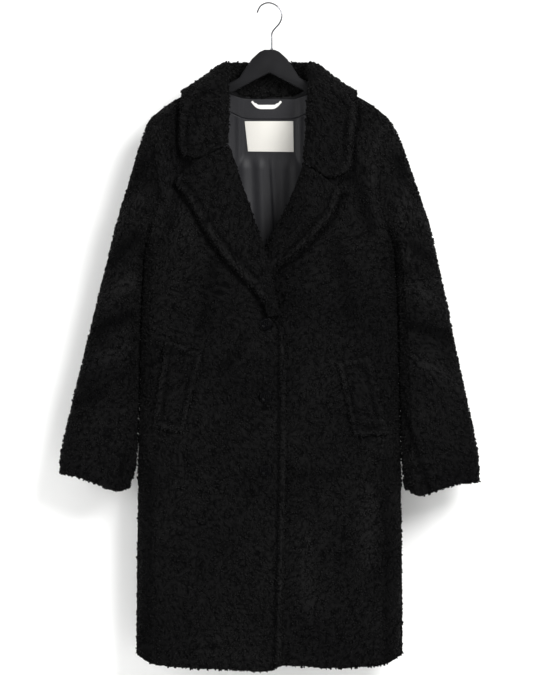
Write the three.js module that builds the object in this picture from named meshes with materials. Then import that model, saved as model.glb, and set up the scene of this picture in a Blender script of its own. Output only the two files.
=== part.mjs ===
// A knee-length faux fur coat, single-breasted with notched lapels, hung on a plastic hanger
// with a wire hook. Millimetres, +Z up, the front faces -Y. Sides are the wearer's: the right
// side is at -X. The origin is where the hook hangs, at the inner top of its bend.

import * as THREE from 'three';

const RIGHT = -1;
const LEFT = 1;
const FRONT = -1;
const BACK = 1;

// Cloth and clearances
const FUR_WALL = 7;
const FOLDED_FUR = 10;
const COLLAR_STAND = 6.5;
const COLLAR_FALL = 11;
const FACING = 4;
const WELT_RISE = 9;
const SATIN = 1.5;
const LABEL_CLOTH = 1;
const SEAM_GAP = 0.4;
const LAID_ON = 0.5;
const LINING_LAY = 1.2;
const SLEEVE_GAP = { shoulder: 0.9, underarm: 2.8 };
const LAPEL_LAY = 1.2;
const WELT_LAY = -0.1;
const COLLAR_LAY = 2.5;

// Lengths and heights
const SHOULDER_ROUND = { neck: 46, arm: 70, start: 60, length: 90 };
const SHOULDER_DROP = 1.15;
const SHOULDER_END = { x: 219, z: -210 };
const NECK_POINT = { right: 80, left: 78, z: -135 };
const UNDERARM = -418;
const HEM = -1196;
const HEM_SIDE = -1171;
const HEM_HALF = 241;
const BACK_NECK = { halfWidth: 80, z: -160, flat: 0.6, rise: 2.2 };

// How many divisions each piece has
const ARMHOLE_ROWS = 9;
const BODY_ROWS = 14;
const FRONT_COLUMNS = 12;
const BACK_COLUMNS = 20;
const BAND_COLUMNS = { inside: 4, outside: 7 };

const table = (columns, lines) => lines.map(
  (line) => Object.fromEntries(columns.map((name, i) => [name, line[i]])),
);

// The body's section by height: half width, half depth and how square its corners are
const BODY = table(['z', 'width', 'depth', 'square'], [
  [-110, 262, 32, 4],
  [-170, 258, 46, 4],
  [-213, 252, 56, 4],
  [-260, 246, 62, 4],
  [-315, 240, 66, 4],
  [-370, 232, 67, 3.8],
  [-418, 222, 67, 3.6],
  [-530, 228.5, 64, 3.4],
  [-700, 232.5, 60, 3.2],
  [-860, 237, 57, 3],
  [-1000, 240, 56, 3],
  [-1200, 241, 57, 3],
]);

// The shoulder seam, from the neck out to the sleeve
const SHOULDER = table(['x', 'z'], [
  [0, -112],
  [40, -121],
  [80, -135],
  [108, -145],
  [135, -155],
  [158, -165],
  [179, -177],
  [194, -188],
  [208, -199.5],
  [219, -210],
  [240, -232],
]);

// The armhole seam, from the shoulder down to the underarm
const ARMHOLE = table(['z', 'x'], [
  [-210, 219],
  [-218, 218.6],
  [-226, 216.8],
  [-243, 212],
  [-270, 205],
  [-300, 200.5],
  [-330, 197],
  [-355, 196.5],
  [-380, 201],
  [-400, 210.5],
  [-411, 217],
  [-418, 222],
]);

// Inner edges of the two fronts: neckline, then the roll line, then the front edge
const FRONT_EDGE = {
  right: table(['z', 'x'], [
    [-135, -80],
    [-150, -85],
    [-170, -89],
    [-225, -89],
    [-243, -89],
    [-263, -86],
    [-290, -77],
    [-323, -65],
    [-371, -47],
    [-428, -27],
    [-459, -15],
    [-499, -6],
    [-535, -1],
    [-556, 7],
    [-575, 24],
    [-590, 28],
    [-785, 29.7],
    [-1001, 26],
    [-1200, 20.7],
  ]),
  left: table(['z', 'x'], [
    [-135, 78],
    [-150, 81.5],
    [-170, 84],
    [-220, 82],
    [-280, 78],
    [-316, 70],
    [-373, 53],
    [-400, 39],
    [-427, 16],
    [-465, -4],
    [-510, -12],
    [-545, -18],
    [-580, -30],
    [-640, -33],
    [-1200, -33],
  ]),
};

// The hem, which hangs a little uneven and turns up at the side seams
const HEM_LINE = {
  right: table(['x', 'z'], [
    [-HEM_HALF, HEM_SIDE],
    [-233, -1179],
    [-211, -1189],
    [-168, -1193],
    [-110, -1196],
    [-60, -1197.5],
    [-36, -1201],
    [4, -1201],
    [14, -1197],
    [21, -1189],
  ]),
  left: table(['x', 'z'], [
    [-33, -1190],
    [26, -1190],
    [69, -1190.5],
    [92, -1195.5],
    [150, -1194],
    [199, -1192],
    [220, -1186],
    [233, -1177],
    [HEM_HALF, HEM_SIDE],
  ]),
  back: table(['x', 'z'], [
    [-HEM_HALF, HEM_SIDE],
    [-233, -1179],
    [-205, -1189],
    [-120, -1194],
    [0, -1192],
    [120, -1194],
    [205, -1189],
    [233, -1179],
    [HEM_HALF, HEM_SIDE],
  ]),
};

// Soft folds of the hung fur: a crest from one end to the other, how wide it is and how proud
const FOLDS = {
  right: table(['x0', 'z0', 'x1', 'z1', 'width', 'rise'], [
    [-150, -300, -120, -560, 30, 4],
    [-95, -640, -60, -1190, 34, 5],
    [-170, -800, -182, -1190, 30, 4.5],
    [-120, -820, -128, -1190, 22, -3],
  ]),
  left: table(['x0', 'z0', 'x1', 'z1', 'width', 'rise'], [
    [150, -300, 128, -540, 30, 4],
    [62, -960, 66, -1090, 18, 4],
    [172, -900, 168, -1090, 26, 5],
    [40, -848, 118, -842, 12, -3],
    [112, -840, 118, -1190, 26, -3.5],
  ]),
  back: table(['x0', 'z0', 'x1', 'z1', 'width', 'rise'], [
    [-120, -380, -100, -1190, 40, 5],
    [110, -420, 130, -1190, 44, 5],
    [5, -520, 15, -1190, 36, -4],
    [-185, -700, -190, -1190, 26, 4],
    [186, -760, 190, -1190, 26, 4],
  ]),
};

// How far the right front stands out over the left, and how far the left sinks beneath it
const LAP = { lift: 3.6, sink: 4.2, start: -92, right: 50, left: 30, fade: 35 };
const UNDER_LAPEL = { sink: 18, reach: 76, top: -300, full: -395, end: -560, gone: -640 };

// Sleeves: outer and inner edge of each ring, half depth, centre in Y and squareness
const SLEEVE_COLUMNS = ['outX', 'outZ', 'inX', 'inZ', 'depth', 'y', 'square', 'blend', 'dip'];
const SLEEVE = {
  right: table(SLEEVE_COLUMNS, [
    [219, -210, 222, -418, 60, 0, 2.2, 0, 0],
    [230, -231, 225, -440, 62, 0, 2.2, 0.25, 0],
    [241, -263.5, 225.6, -442.5, 62, 0, 2.2, 0.5, 0],
    [256, -317, 226.2, -447, 60, 1, 2.2, 0.8, 0],
    [272, -375, 226.8, -454.5, 58, 3, 2.2, 1, 0],
    [286, -425.5, 227.4, -468, 56, 5, 2.2, 1, 0],
    [301, -490, 229.4, -505, 52, 7, 2.3, 1, 0],
    [318, -555, 231.6, -562, 48, 8, 2.3, 1, 0],
    [334, -620, 233, -626, 45, 6, 2.4, 1, 0],
    [352, -690, 234.6, -697, 42, 2, 2.4, 1, 2],
    [367, -752, 236.8, -768, 39, -3, 2.5, 1, 6],
    [382, -812, 239.6, -830, 37, -7, 2.5, 1, 12],
    [381, -847, 249, -868, 35, -9, 2.5, 1, 17],
  ]),
  left: table(SLEEVE_COLUMNS, [
    [219, -210, 222, -418, 60, 0, 2.2, 0, 0],
    [236, -231, 225, -440, 62, 0, 2.2, 0.25, 0],
    [251, -263.5, 225.5, -441, 62, 0, 2.2, 0.5, 0],
    [267, -317, 226, -445, 60, 1, 2.2, 0.8, 0],
    [284, -375, 226.6, -452, 58, 3, 2.2, 1, 0],
    [298, -425.5, 227.4, -468, 56, 5, 2.2, 1, 0],
    [312, -490, 229.4, -505, 52, 7, 2.3, 1, 0],
    [326, -555, 231.6, -562, 48, 8, 2.3, 1, 0],
    [338, -620, 233, -626, 45, 6, 2.4, 1, 0],
    [353, -690, 234.6, -697, 42, 2, 2.4, 1, 2],
    [368, -752, 236.8, -768, 39, -3, 2.5, 1, 6],
    [381, -812, 239, -830, 37, -7, 2.5, 1, 14],
    [381, -862, 243, -868, 35, -9, 2.5, 1, 24],
  ]),
};

// Where the two-piece sleeve's seams lie round the ring, as shares from top to underarm
const SLEEVE_SEAM = { front: 0.74, back: 0.7 };
const SLEEVE_SEAM_GAP = 0.02;
const CUFF_DIP = { place: -0.5, spread: 0.42 };

// The collar's back and sides, as points across from the neck seam to the outer edge
const COLLAR_BACK = table(['seam', 'stand', 'roll', 'fall', 'middle', 'edge'], [
  [[0, 33.5, -168], [0, 35, -120], [0, 47.5, -103], [0, 58, -118], [0, 62, -160], [0, 67, -205]],
  [[36, 32.5, -168], [37, 34, -120], [39, 46, -103], [44, 57, -118], [54, 62, -160], [64, 66, -204]],
  [[60, 25, -160], [62, 26, -122], [67, 34, -105], [76, 45, -116], [96, 55, -150], [114, 60, -195]],
  [[70, 10, -143], [71, 11, -124], [77, 14, -106], [88, 21, -112], [116, 33, -138], [146, 42, -180]],
  [[73, -5, -136.5], [73, -5, -124], [78, -6, -107], [90, -7, -112], [116, -8, -131], [158, -4, -163]],
]);

// The collar's front and the lapels: the roll's edge, a point on the way and the outer edge,
// as seen from the front
const BAND_LINE = ['rollX', 'rollZ', 'midX', 'midZ', 'edgeX', 'edgeZ'];
const COLLAR_FRONT = {
  right: table(BAND_LINE, [
    [-67.5, -172, -116, -182, -161, -200],
    [-67.5, -207, -116, -219, -161.5, -233],
    [-68, -233, -122, -252, -161, -262],
    [-69.3, -253, -128, -281.6, -155.7, -276],
  ]),
  left: table(BAND_LINE, [
    [62, -172, 112, -184, 157, -202],
    [61, -212, 108, -229, 151, -242],
    [59, -250, 106, -277, 147, -288],
    [56.7, -283, 105, -317.6, 141.3, -306.7],
  ]),
};
const LAPEL = {
  right: table(BAND_LINE, [
    [-69.3, -255.6, -128, -284.4, -165, -312],
    [-64, -265, -120, -297, -168.8, -326],
    [-57, -285, -105, -318, -151, -347],
    [-47, -318, -91, -347, -134, -375],
    [-35, -353, -76, -382, -115, -410],
    [-22, -390, -58, -417, -93, -443],
    [-9.4, -428, -40, -451, -69, -473],
    [3, -463, -21, -481, -44, -498],
    [11.5, -500, -6, -510, -23, -520],
    [16, -535, 3, -538, -10, -541],
    [25, -562, 11, -564, -3, -566],
  ]),
  left: table(BAND_LINE, [
    [56.7, -285.6, 105, -320.4, 129, -333],
    [53, -298, 94, -323, 133, -343],
    [47.7, -316, 84, -337, 120, -357],
    [37, -340, 77, -361, 115, -381],
    [22.5, -373, 58, -390, 93, -407],
    [7, -400, 38, -416, 69, -432],
    [-8, -427, 17, -442, 42, -457],
    [-21, -460, -3, -468, 15, -475],
    [-29, -500, -16, -504, -3, -507],
    [-35, -541, -22.5, -543, -10.5, -544],
  ]),
};
const REACH_INSIDE = { collar: 2, lapel: 14 };

// Pocket welts on the fronts: their four corners, as seen from the front
const WELT = {
  right: { top: [[-118, -627], [-188, -603]], bottom: [[-154, -773], [-211, -762]] },
  left: { top: [[119.7, -645], [181, -631]], bottom: [[150, -778], [214, -776]] },
};

const BUTTONS = { x: -6, z: { upper: -576, middle: -706, lower: -838 }, radius: 10.5, thick: 4.5 };

const LINING = { top: -170, yokeSeam: -206, bottom: HEM + 32, columns: { from: 3, to: 17 } };
const LABEL = { x: [-45, 43], z: [-209.5, -264] };
const LOOP = { x: [-32, 21], z: -174, sag: 14, width: 4, thick: 1.4 };

const HANGER = { thick: 9, bevel: 2, end: 196, armDepth: 17, shoulderSeat: 9.8 };
const HANGER_HEAD = table(['x', 'z'], [
  [0, -83],
  [9, -83],
  [18, -87],
  [32, -100],
  [44, -118],
  [54, -133],
]);
const HANGER_BELLY = table(['x', 'z'], [
  [0, -124.4],
  [30, -140],
  [63, -158],
]);
const WIRE = 3.5;
const HOOK_PATH = [
  [4, -82.7], [4, -66], [4.2, -53], [10.5, -44], [18.4, -35], [22.3, -21], [16.5, -7],
  [-1, 1.75], [-16, -4], [-22.6, -17],
];

const FUR = { color: 0x141416, roughness: 1 };
const MATERIALS = {
  fur: FUR,
  satin: { color: 0x3c3c40, roughness: 0.42 },
  label: { color: 0xe4e2dc, roughness: 0.8 },
  tape: { color: 0xe8e6e0, roughness: 0.75 },
  plastic: { color: 0x2b2b2d, roughness: 0.55 },
  button: { color: 0x101012, roughness: 0.25 },
  wire: { color: 0xb9bcc0, roughness: 0.2, metalness: 1 },
};

const coat = new THREE.Group();
const shades = Object.fromEntries(
  Object.entries(MATERIALS).map(([name, look]) => [name, new THREE.MeshStandardMaterial(look)]),
);

function add(name, geometry, material) {
  geometry.computeVertexNormals();
  const mesh = new THREE.Mesh(geometry, shades[material]);
  mesh.name = name;
  coat.add(mesh);
}

// Sums

const mix = (a, b, t) => a + (b - a) * t;
const clamp = (t, low, high) => Math.min(high, Math.max(low, t));
const ease = (t) => {
  const s = clamp(t, 0, 1);
  return s * s * (3 - 2 * s);
};
const bell = (t) => Math.exp(-t * t);
const vector = (x, y, z) => new THREE.Vector3(x, y, z);

// A column's value at a place along a table, on a smooth curve with no overshoot
function along(rows, key, at, column) {
  const sign = Math.sign(rows[1][key] - rows[0][key]);
  const last = rows.length - 1;
  const place = (i) => rows[i][key] * sign;
  const t = clamp(at * sign, place(0), place(last));
  let i = 0;
  while (i < last - 1 && t > place(i + 1)) i += 1;
  const slope = (k) => (rows[k + 1][column] - rows[k][column]) / (place(k + 1) - place(k));
  const tangent = (k) => {
    if (k === 0) return slope(0);
    if (k === last) return slope(last - 1);
    const before = slope(k - 1);
    const after = slope(k);
    return before * after <= 0 ? 0 : (2 * before * after) / (before + after);
  };
  const step = place(i + 1) - place(i);
  const s = (t - place(i)) / step;
  const rise = s * s * (3 - 2 * s);
  const start = s * (1 - s) * (1 - s) * step * tangent(i);
  const end = s * s * (s - 1) * step * tangent(i + 1);
  return mix(rows[i][column], rows[i + 1][column], rise) + start + end;
}

// Points at equal steps along a fine line
function evenly(points, count) {
  const lengths = [0];
  for (let i = 1; i < points.length; i += 1) {
    lengths.push(lengths[i - 1] + points[i].distanceTo(points[i - 1]));
  }
  const total = lengths[lengths.length - 1];
  const placed = [];
  let k = 0;
  for (let i = 0; i <= count; i += 1) {
    const want = (total * i) / count;
    while (k < points.length - 2 && lengths[k + 1] < want) k += 1;
    const span = lengths[k + 1] - lengths[k];
    const t = span > 0 ? clamp((want - lengths[k]) / span, 0, 1) : 0;
    placed.push(points[k].clone().lerp(points[k + 1], t));
  }
  return placed;
}

// A closed wall between an outer and an inner grid of points
function wall(outer, inner) {
  const rows = outer.length;
  const columns = outer[0].length;
  const positions = [];
  for (const grid of [outer, inner]) {
    for (const row of grid) {
      for (const p of row) positions.push(p.x, p.y, p.z);
    }
  }
  const at = (side, row, column) => (side * rows + row) * columns + column;
  const index = [];
  const quad = (a, b, c, d) => index.push(a, b, c, a, c, d);
  for (let r = 0; r < rows - 1; r += 1) {
    for (let c = 0; c < columns - 1; c += 1) {
      quad(at(0, r, c), at(0, r, c + 1), at(0, r + 1, c + 1), at(0, r + 1, c));
      quad(at(1, r, c), at(1, r + 1, c), at(1, r + 1, c + 1), at(1, r, c + 1));
    }
  }
  for (let c = 0; c < columns - 1; c += 1) {
    quad(at(0, 0, c + 1), at(0, 0, c), at(1, 0, c), at(1, 0, c + 1));
    quad(at(0, rows - 1, c), at(0, rows - 1, c + 1), at(1, rows - 1, c + 1), at(1, rows - 1, c));
  }
  for (let r = 0; r < rows - 1; r += 1) {
    quad(at(0, r, 0), at(0, r + 1, 0), at(1, r + 1, 0), at(1, r, 0));
    const end = columns - 1;
    quad(at(0, r + 1, end), at(0, r, end), at(1, r, end), at(1, r + 1, end));
  }
  return facingOut(positions, index);
}

function facingOut(positions, index) {
  const corner = (i) => vector(positions[3 * i], positions[3 * i + 1], positions[3 * i + 2]);
  let volume = 0;
  for (let i = 0; i < index.length; i += 3) {
    volume += corner(index[i]).dot(corner(index[i + 1]).cross(corner(index[i + 2])));
  }
  if (volume < 0) {
    for (let i = 0; i < index.length; i += 3) {
      [index[i], index[i + 2]] = [index[i + 2], index[i]];
    }
  }
  const geometry = new THREE.BufferGeometry();
  geometry.setAttribute('position', new THREE.Float32BufferAttribute(positions, 3));
  geometry.setIndex(index);
  return geometry;
}

// The body's form

const shoulderHeight = (x) => along(SHOULDER, 'x', Math.abs(x), 'z');
const shoulderRound = (x) => mix(
  SHOULDER_ROUND.neck,
  SHOULDER_ROUND.arm,
  ease((Math.abs(x) - SHOULDER_ROUND.start) / SHOULDER_ROUND.length),
);

const quarterRound = (t) => {
  const s = clamp(t, 0, 1);
  return Math.sqrt(1 - (1 - s) * (1 - s));
};

// Half depth of the body at a place seen from the front; a negative inset lies outside it
function bodyDepth(x, z, inset = 0) {
  const width = along(BODY, 'z', z, 'width') - inset;
  const depth = along(BODY, 'z', z, 'depth') - inset;
  const square = along(BODY, 'z', z, 'square');
  const across = Math.min(1, Math.abs(x) / width);
  const side = (1 - across ** square) ** (1 / square);
  const below = shoulderHeight(x) - SHOULDER_DROP * inset - z;
  return depth * side * quarterRound(below / (shoulderRound(x) - inset));
}

function foldsAt(folds, x, z) {
  let rise = 0;
  for (const fold of folds) {
    const run = vector(fold.x1 - fold.x0, 0, fold.z1 - fold.z0);
    const from = vector(x - fold.x0, 0, z - fold.z0);
    const t = clamp(from.dot(run) / run.lengthSq(), 0, 1);
    const away = from.addScaledVector(run, -t).length();
    rise += fold.rise * bell(away / fold.width) * ease(4 * t) * ease(8 * (1.03 - t));
  }
  return rise;
}

const sideFade = (x, z) => ease((along(BODY, 'z', z, 'width') - Math.abs(x)) / 40);

// How far a panel's face stands out from the plain body
const standOut = {
  back: (x, z) => foldsAt(FOLDS.back, x, z) * sideFade(x, z),
  right: (x, z) => {
    const lift = LAP.lift * ease((x - LAP.start) / LAP.right);
    return foldsAt(FOLDS.right, x, z) * sideFade(x, z) + lift;
  },
  left: (x, z) => {
    const lapped = LAP.sink * (1 - ease((x - LAP.left) / LAP.fade));
    const above = ease((UNDER_LAPEL.top - z) / (UNDER_LAPEL.top - UNDER_LAPEL.full));
    const below = ease((z - UNDER_LAPEL.gone) / (UNDER_LAPEL.end - UNDER_LAPEL.gone));
    const under = UNDER_LAPEL.sink * above * below * (1 - ease(x / UNDER_LAPEL.reach));
    return foldsAt(FOLDS.left, x, z) * sideFade(x, z) - lapped - under;
  },
};

const skin = (panel, x, z, inset = 0) => bodyDepth(x, z, inset) + standOut[panel](x, z);

// Rows of the body's panels: share of the way from the shoulder to the hem

const hemHeight = (panel, x) => along(HEM_LINE[panel], 'x', x, 'z');

function bodyRows() {
  const rows = [];
  for (let i = 0; i <= ARMHOLE_ROWS; i += 1) {
    const t = (1 - Math.cos((Math.PI * i) / ARMHOLE_ROWS)) / 2;
    const z = mix(SHOULDER_END.z, UNDERARM, t);
    const turn = ease((i / ARMHOLE_ROWS - 0.35) / 0.6);
    rows.push({ sideZ: z, sideX: along(ARMHOLE, 'z', z, 'x'), turn });
  }
  for (let i = 1; i <= BODY_ROWS; i += 1) {
    const z = mix(UNDERARM, HEM_SIDE, i / BODY_ROWS);
    rows.push({ sideZ: z, sideX: along(BODY, 'z', z, 'width'), turn: 1 });
  }
  const whole = SHOULDER_END.z - HEM_SIDE;
  return rows.map((row) => ({ ...row, share: (SHOULDER_END.z - row.sideZ) / whole }));
}

const ROWS = bodyRows();
const FINE = 90;

// One point of a panel's row: top is the height at which its column starts. The row widens to
// the hem's own width there, so that front and back meet all the way down the side seam.
function panelPoint(panel, facing, row, x, top, inset) {
  let z = mix(top, hemHeight(panel, (x * HEM_HALF) / row.sideX), row.share);
  const inward = inset > 0 ? (row.sideX - inset * row.turn) / row.sideX : 1;
  const px = x * inward;
  if (inset > 0) {
    const below = shoulderHeight(px) - z;
    z -= SHOULDER_DROP * inset * (1 - ease(below / 50));
  }
  const depth = Math.max(0, bodyDepth(px, z, inset));
  const out = depth + standOut[panel](px, z) * ease(depth / 20);
  return vector(px, facing * (out + SEAM_GAP / 2), z);
}

function frontRow(side, row, inset) {
  const name = side === RIGHT ? 'right' : 'left';
  const edge = FRONT_EDGE[name];
  const fine = [];
  const topZ = NECK_POINT.z;
  const edgeZ = mix(topZ, HEM, row.share);
  const edgeX = along(edge, 'z', edgeZ, 'x');
  for (let i = 0; i <= FINE; i += 1) {
    const t = (i / FINE) ** 3;
    const x = mix(side * row.sideX, edgeX, t);
    const top = shoulderHeight(mix(SHOULDER_END.x, NECK_POINT[name], t));
    fine.push(panelPoint(name, FRONT, row, x, top, inset));
  }
  return evenly(fine, FRONT_COLUMNS);
}

function backTop(x) {
  const away = Math.abs(x);
  if (away >= BACK_NECK.halfWidth) return shoulderHeight(away);
  const { halfWidth, flat, rise } = BACK_NECK;
  const t = Math.max(0, (away / halfWidth - flat) / (1 - flat)) ** rise;
  return mix(BACK_NECK.z, NECK_POINT.z, t);
}

function backRow(row, inset) {
  const fine = [];
  for (let i = -FINE; i <= FINE; i += 1) {
    const share = Math.abs(i) / FINE;
    const t = Math.sign(i) * (1 - (1 - share) ** 3);
    fine.push(panelPoint('back', BACK, row, row.sideX * t, backTop(SHOULDER_END.x * t), inset));
  }
  return evenly(fine, BACK_COLUMNS);
}

const panelFaces = (rowAt) => ({
  outer: ROWS.map((row) => rowAt(row, 0)),
  inner: ROWS.map((row) => rowAt(row, FUR_WALL)),
});

const PANELS = {
  right: panelFaces((row, inset) => frontRow(RIGHT, row, inset)),
  left: panelFaces((row, inset) => frontRow(LEFT, row, inset)),
  back: panelFaces(backRow),
};

function addBody() {
  add('front_right', wall(PANELS.right.outer, PANELS.right.inner), 'fur');
  add('front_left', wall(PANELS.left.outer, PANELS.left.inner), 'fur');
  add('back', wall(PANELS.back.outer, PANELS.back.inner), 'fur');
}

// Y of a grid of points at a place seen from the front
function faceY(grid, x, z) {
  for (let r = 0; r < grid.length - 1; r += 1) {
    for (let c = 0; c < grid[r].length - 1; c += 1) {
      const [a, b] = [grid[r][c], grid[r][c + 1]];
      const [d, e] = [grid[r + 1][c], grid[r + 1][c + 1]];
      for (const [p, q, s] of [[a, b, e], [a, e, d]]) {
        const area = (q.x - p.x) * (s.z - p.z) - (s.x - p.x) * (q.z - p.z);
        const u = ((x - p.x) * (s.z - p.z) - (s.x - p.x) * (z - p.z)) / area;
        const v = ((q.x - p.x) * (z - p.z) - (x - p.x) * (q.z - p.z)) / area;
        if (u >= 0 && v >= 0 && u + v <= 1) return p.y + u * (q.y - p.y) + v * (s.y - p.y);
      }
    }
  }
  return null;
}

// Sleeves: rings that fan out from the armhole and run down to the cuff

// The armhole's own points, down the front to the underarm and up the back
function armholeRing(side, inset) {
  const rows = ROWS.slice(0, ARMHOLE_ROWS + 1);
  const top = shoulderHeight(SHOULDER_END.x);
  const name = side === RIGHT ? 'right' : 'left';
  const front = rows.map((row) => panelPoint(name, FRONT, row, side * row.sideX, top, inset));
  const back = rows.map((row) => panelPoint('back', BACK, row, side * row.sideX, top, inset));
  for (const end of [0, ARMHOLE_ROWS]) {
    front[end].y = 0;
    back[end].y = 0;
  }
  return { front, back };
}

function ellipsePoint(side, facing, ring, turn, inset) {
  const cosine = Math.cos(turn);
  const sine = Math.sin(turn);
  const round = (value) => Math.sign(value) * Math.abs(value) ** (2 / ring.square);
  const out = vector(ring.outX, 0, ring.outZ);
  const inner = vector(ring.inX, 0, ring.inZ);
  const half = out.clone().sub(inner).multiplyScalar(0.5);
  const reach = (half.length() - inset) / half.length();
  const place = out.clone().add(inner).multiplyScalar(0.5).addScaledVector(half, reach * round(cosine));
  const dip = ring.dip * bell((cosine - CUFF_DIP.place) / CUFF_DIP.spread);
  return vector(
    side * place.x,
    ring.y + facing * (ring.depth - inset) * Math.abs(round(sine)),
    place.z - dip,
  );
}

// One ring of a sleeve: its points down the front, then down the back
function sleeveRing(side, ring, inset) {
  const start = armholeRing(side, inset);
  const finish = { front: [], back: [] };
  for (const [half, facing] of [['front', FRONT], ['back', BACK]]) {
    for (let i = 0; i <= ARMHOLE_ROWS; i += 1) {
      const turn = (Math.PI * i) / ARMHOLE_ROWS;
      const round = ellipsePoint(side, facing, ring, turn, inset);
      const from = start[half][i].clone();
      from.x += side * mix(SLEEVE_GAP.shoulder, SLEEVE_GAP.underarm, (i / ARMHOLE_ROWS) ** 3);
      finish[half].push(from.lerp(round, ring.blend));
    }
  }
  return finish;
}

const RING_STEPS = 2 * ARMHOLE_ROWS;

// A place round the ring: 0 at the top, 1 at the underarm, down the front or the back
function onRing(ring, half, share) {
  const place = clamp(share, 0, 1) * ARMHOLE_ROWS;
  const i = Math.min(ARMHOLE_ROWS - 1, Math.floor(place));
  return ring[half][i].clone().lerp(ring[half][i + 1], place - i);
}

function topSleeveRow(ring) {
  const row = [];
  const steps = Math.round(RING_STEPS * 0.72);
  const front = SLEEVE_SEAM.front - SLEEVE_SEAM_GAP / 2;
  const back = SLEEVE_SEAM.back - SLEEVE_SEAM_GAP / 2;
  for (let i = 0; i <= steps; i += 1) {
    const place = mix(-front, back, i / steps);
    row.push(onRing(ring, place < 0 ? 'front' : 'back', Math.abs(place)));
  }
  return row;
}

function underSleeveRow(ring) {
  const row = [];
  const steps = RING_STEPS - Math.round(RING_STEPS * 0.72);
  const front = SLEEVE_SEAM.front + SLEEVE_SEAM_GAP / 2;
  const back = SLEEVE_SEAM.back + SLEEVE_SEAM_GAP / 2;
  for (let i = 0; i <= steps; i += 1) {
    const place = mix(front - 1, 1 - back, i / steps);
    row.push(onRing(ring, place < 0 ? 'front' : 'back', 1 - Math.abs(place)));
  }
  return row;
}

function addSleeve(name, side) {
  const outer = SLEEVE[name].map((ring) => sleeveRing(side, ring, 0));
  const inner = SLEEVE[name].map((ring) => sleeveRing(side, ring, FUR_WALL));
  add(`sleeve_top_${name}`, wall(outer.map(topSleeveRow), inner.map(topSleeveRow)), 'fur');
  add(`sleeve_under_${name}`, wall(outer.map(underSleeveRow), inner.map(underSleeveRow)), 'fur');
}

// Collar and lapels: bands of fur folded over at the roll

// Moves a point out of the body, or onto it when it has to lie there
function seatOn(panel, p, inset, exactly) {
  const facing = p.y < 0 ? FRONT : BACK;
  const extra = standOut[panel](p.x, p.z) * ease(Math.abs(p.y) / 20);
  const y = Math.max(0, Math.abs(p.y) - extra);
  const width = along(BODY, 'z', p.z, 'width') - inset;
  const square = along(BODY, 'z', p.z, 'square');
  const across = Math.min(1, Math.abs(p.x) / width) ** square;
  const depth = (along(BODY, 'z', p.z, 'depth') - inset) * (1 - across) ** (1 / square);
  const round = shoulderRound(p.x);
  const rise = round - SHOULDER_DROP * inset;
  const centre = shoulderHeight(p.x) - round;
  const up = Math.max(0, p.z - centre);
  const size = Math.hypot(y / depth, up / rise);
  if (size >= 1 && !exactly) return p;
  const moved = p.clone();
  if (up > 0) {
    moved.z = centre + up / size;
    moved.y = facing * (y / size + extra);
  } else {
    moved.y = facing * (depth + extra);
  }
  return moved;
}

const panelUnder = (p) => {
  if (p.y > 0) return 'back';
  return p.x < 0 ? 'right' : 'left';
};

const bandSmooth = (points) => new THREE.CatmullRomCurve3(points, false, 'centripetal');

// How far out a panel's face lies at a place, with its flat facets nearby taken into account
function faceOut(panel, x, z) {
  let out = skin(panel, x, z);
  for (const [dx, dz] of [[0, 0], [-8, 0], [8, 0], [0, -9], [0, 9]]) {
    const y = faceY(PANELS[panel].outer, x + dx, z + dz);
    if (y !== null) out = Math.max(out, -y);
  }
  return out;
}

// The band lies on the panel from the fold outwards, and reaches a little way inside
function foldedLine(panel, station, band) {
  const from = vector(station.rollX, 0, station.rollZ);
  const middle = vector(station.midX, 0, station.midZ);
  const edge = vector(station.edgeX, 0, station.edgeZ);
  const run = middle.clone().sub(from).normalize();
  const innerLay = FUR_WALL + band.lay + band.inside / 2;
  const outerLay = band.lay + band.outside / 2;
  const radius = (innerLay + outerLay) / 2;
  const centre = band.outside / 2 + radius;
  const put = (reach, out) => {
    const p = from.clone().addScaledVector(run, reach);
    return vector(p.x, -(skin(panel, p.x, p.z) + out), p.z);
  };
  const seat = (p) => vector(p.x, -(faceOut(panel, p.x, p.z) + outerLay), p.z);
  const inside = [
    put(centre + band.reach, -innerLay),
    put(centre, -innerLay),
    put(centre - radius * 0.72, -innerLay + radius * 0.32),
    put(centre - radius, outerLay - radius),
  ];
  const outside = [
    put(centre - radius * 0.72, outerLay - radius * 0.32),
    put(centre, outerLay),
  ];
  const whole = middle.distanceTo(from);
  if (whole > centre + 30) outside.push(seat(from.clone().addScaledVector(run, centre + 15)));
  if (whole > centre + 8) outside.push(seat(middle));
  outside.push(seat(middle.clone().lerp(edge, 0.5)));
  outside.push(seat(edge));
  return splitAtRoll(inside, outside);
}

// Points across a band, with the roll always at the same one
function splitAtRoll(inside, outside) {
  const fine = bandSmooth([...inside, ...outside]).getPoints(FINE * 2);
  const roll = inside[inside.length - 1];
  let nearest = 0;
  fine.forEach((p, i) => {
    if (p.distanceTo(roll) < fine[nearest].distanceTo(roll)) nearest = i;
  });
  return [
    ...evenly(fine.slice(0, nearest + 1), BAND_COLUMNS.inside),
    ...evenly(fine.slice(nearest), BAND_COLUMNS.outside).slice(1),
  ];
}

// Thickness across the band: thin inside, full from the fold outwards
function bandWall(rows, band) {
  const last = rows.length - 1;
  const end = rows[0].length - 1;
  const outer = [];
  const inner = [];
  rows.forEach((row, r) => {
    const ahead = rows[Math.min(last, r + 1)];
    const behind = rows[Math.max(0, r - 1)];
    outer.push([]);
    inner.push([]);
    row.forEach((p, c) => {
      const down = ahead[c].clone().sub(behind[c]);
      const across = row[Math.min(end, c + 1)].clone().sub(row[Math.max(0, c - 1)]);
      const normal = down.cross(across).normalize();
      const thick = mix(band.inside, band.outside, ease((c - BAND_COLUMNS.inside + 1.5) / 3));
      outer[r].push(p.clone().addScaledVector(normal, thick / 2));
      inner[r].push(p.clone().addScaledVector(normal, -thick / 2));
    });
  });
  return wall(outer, inner);
}

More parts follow.
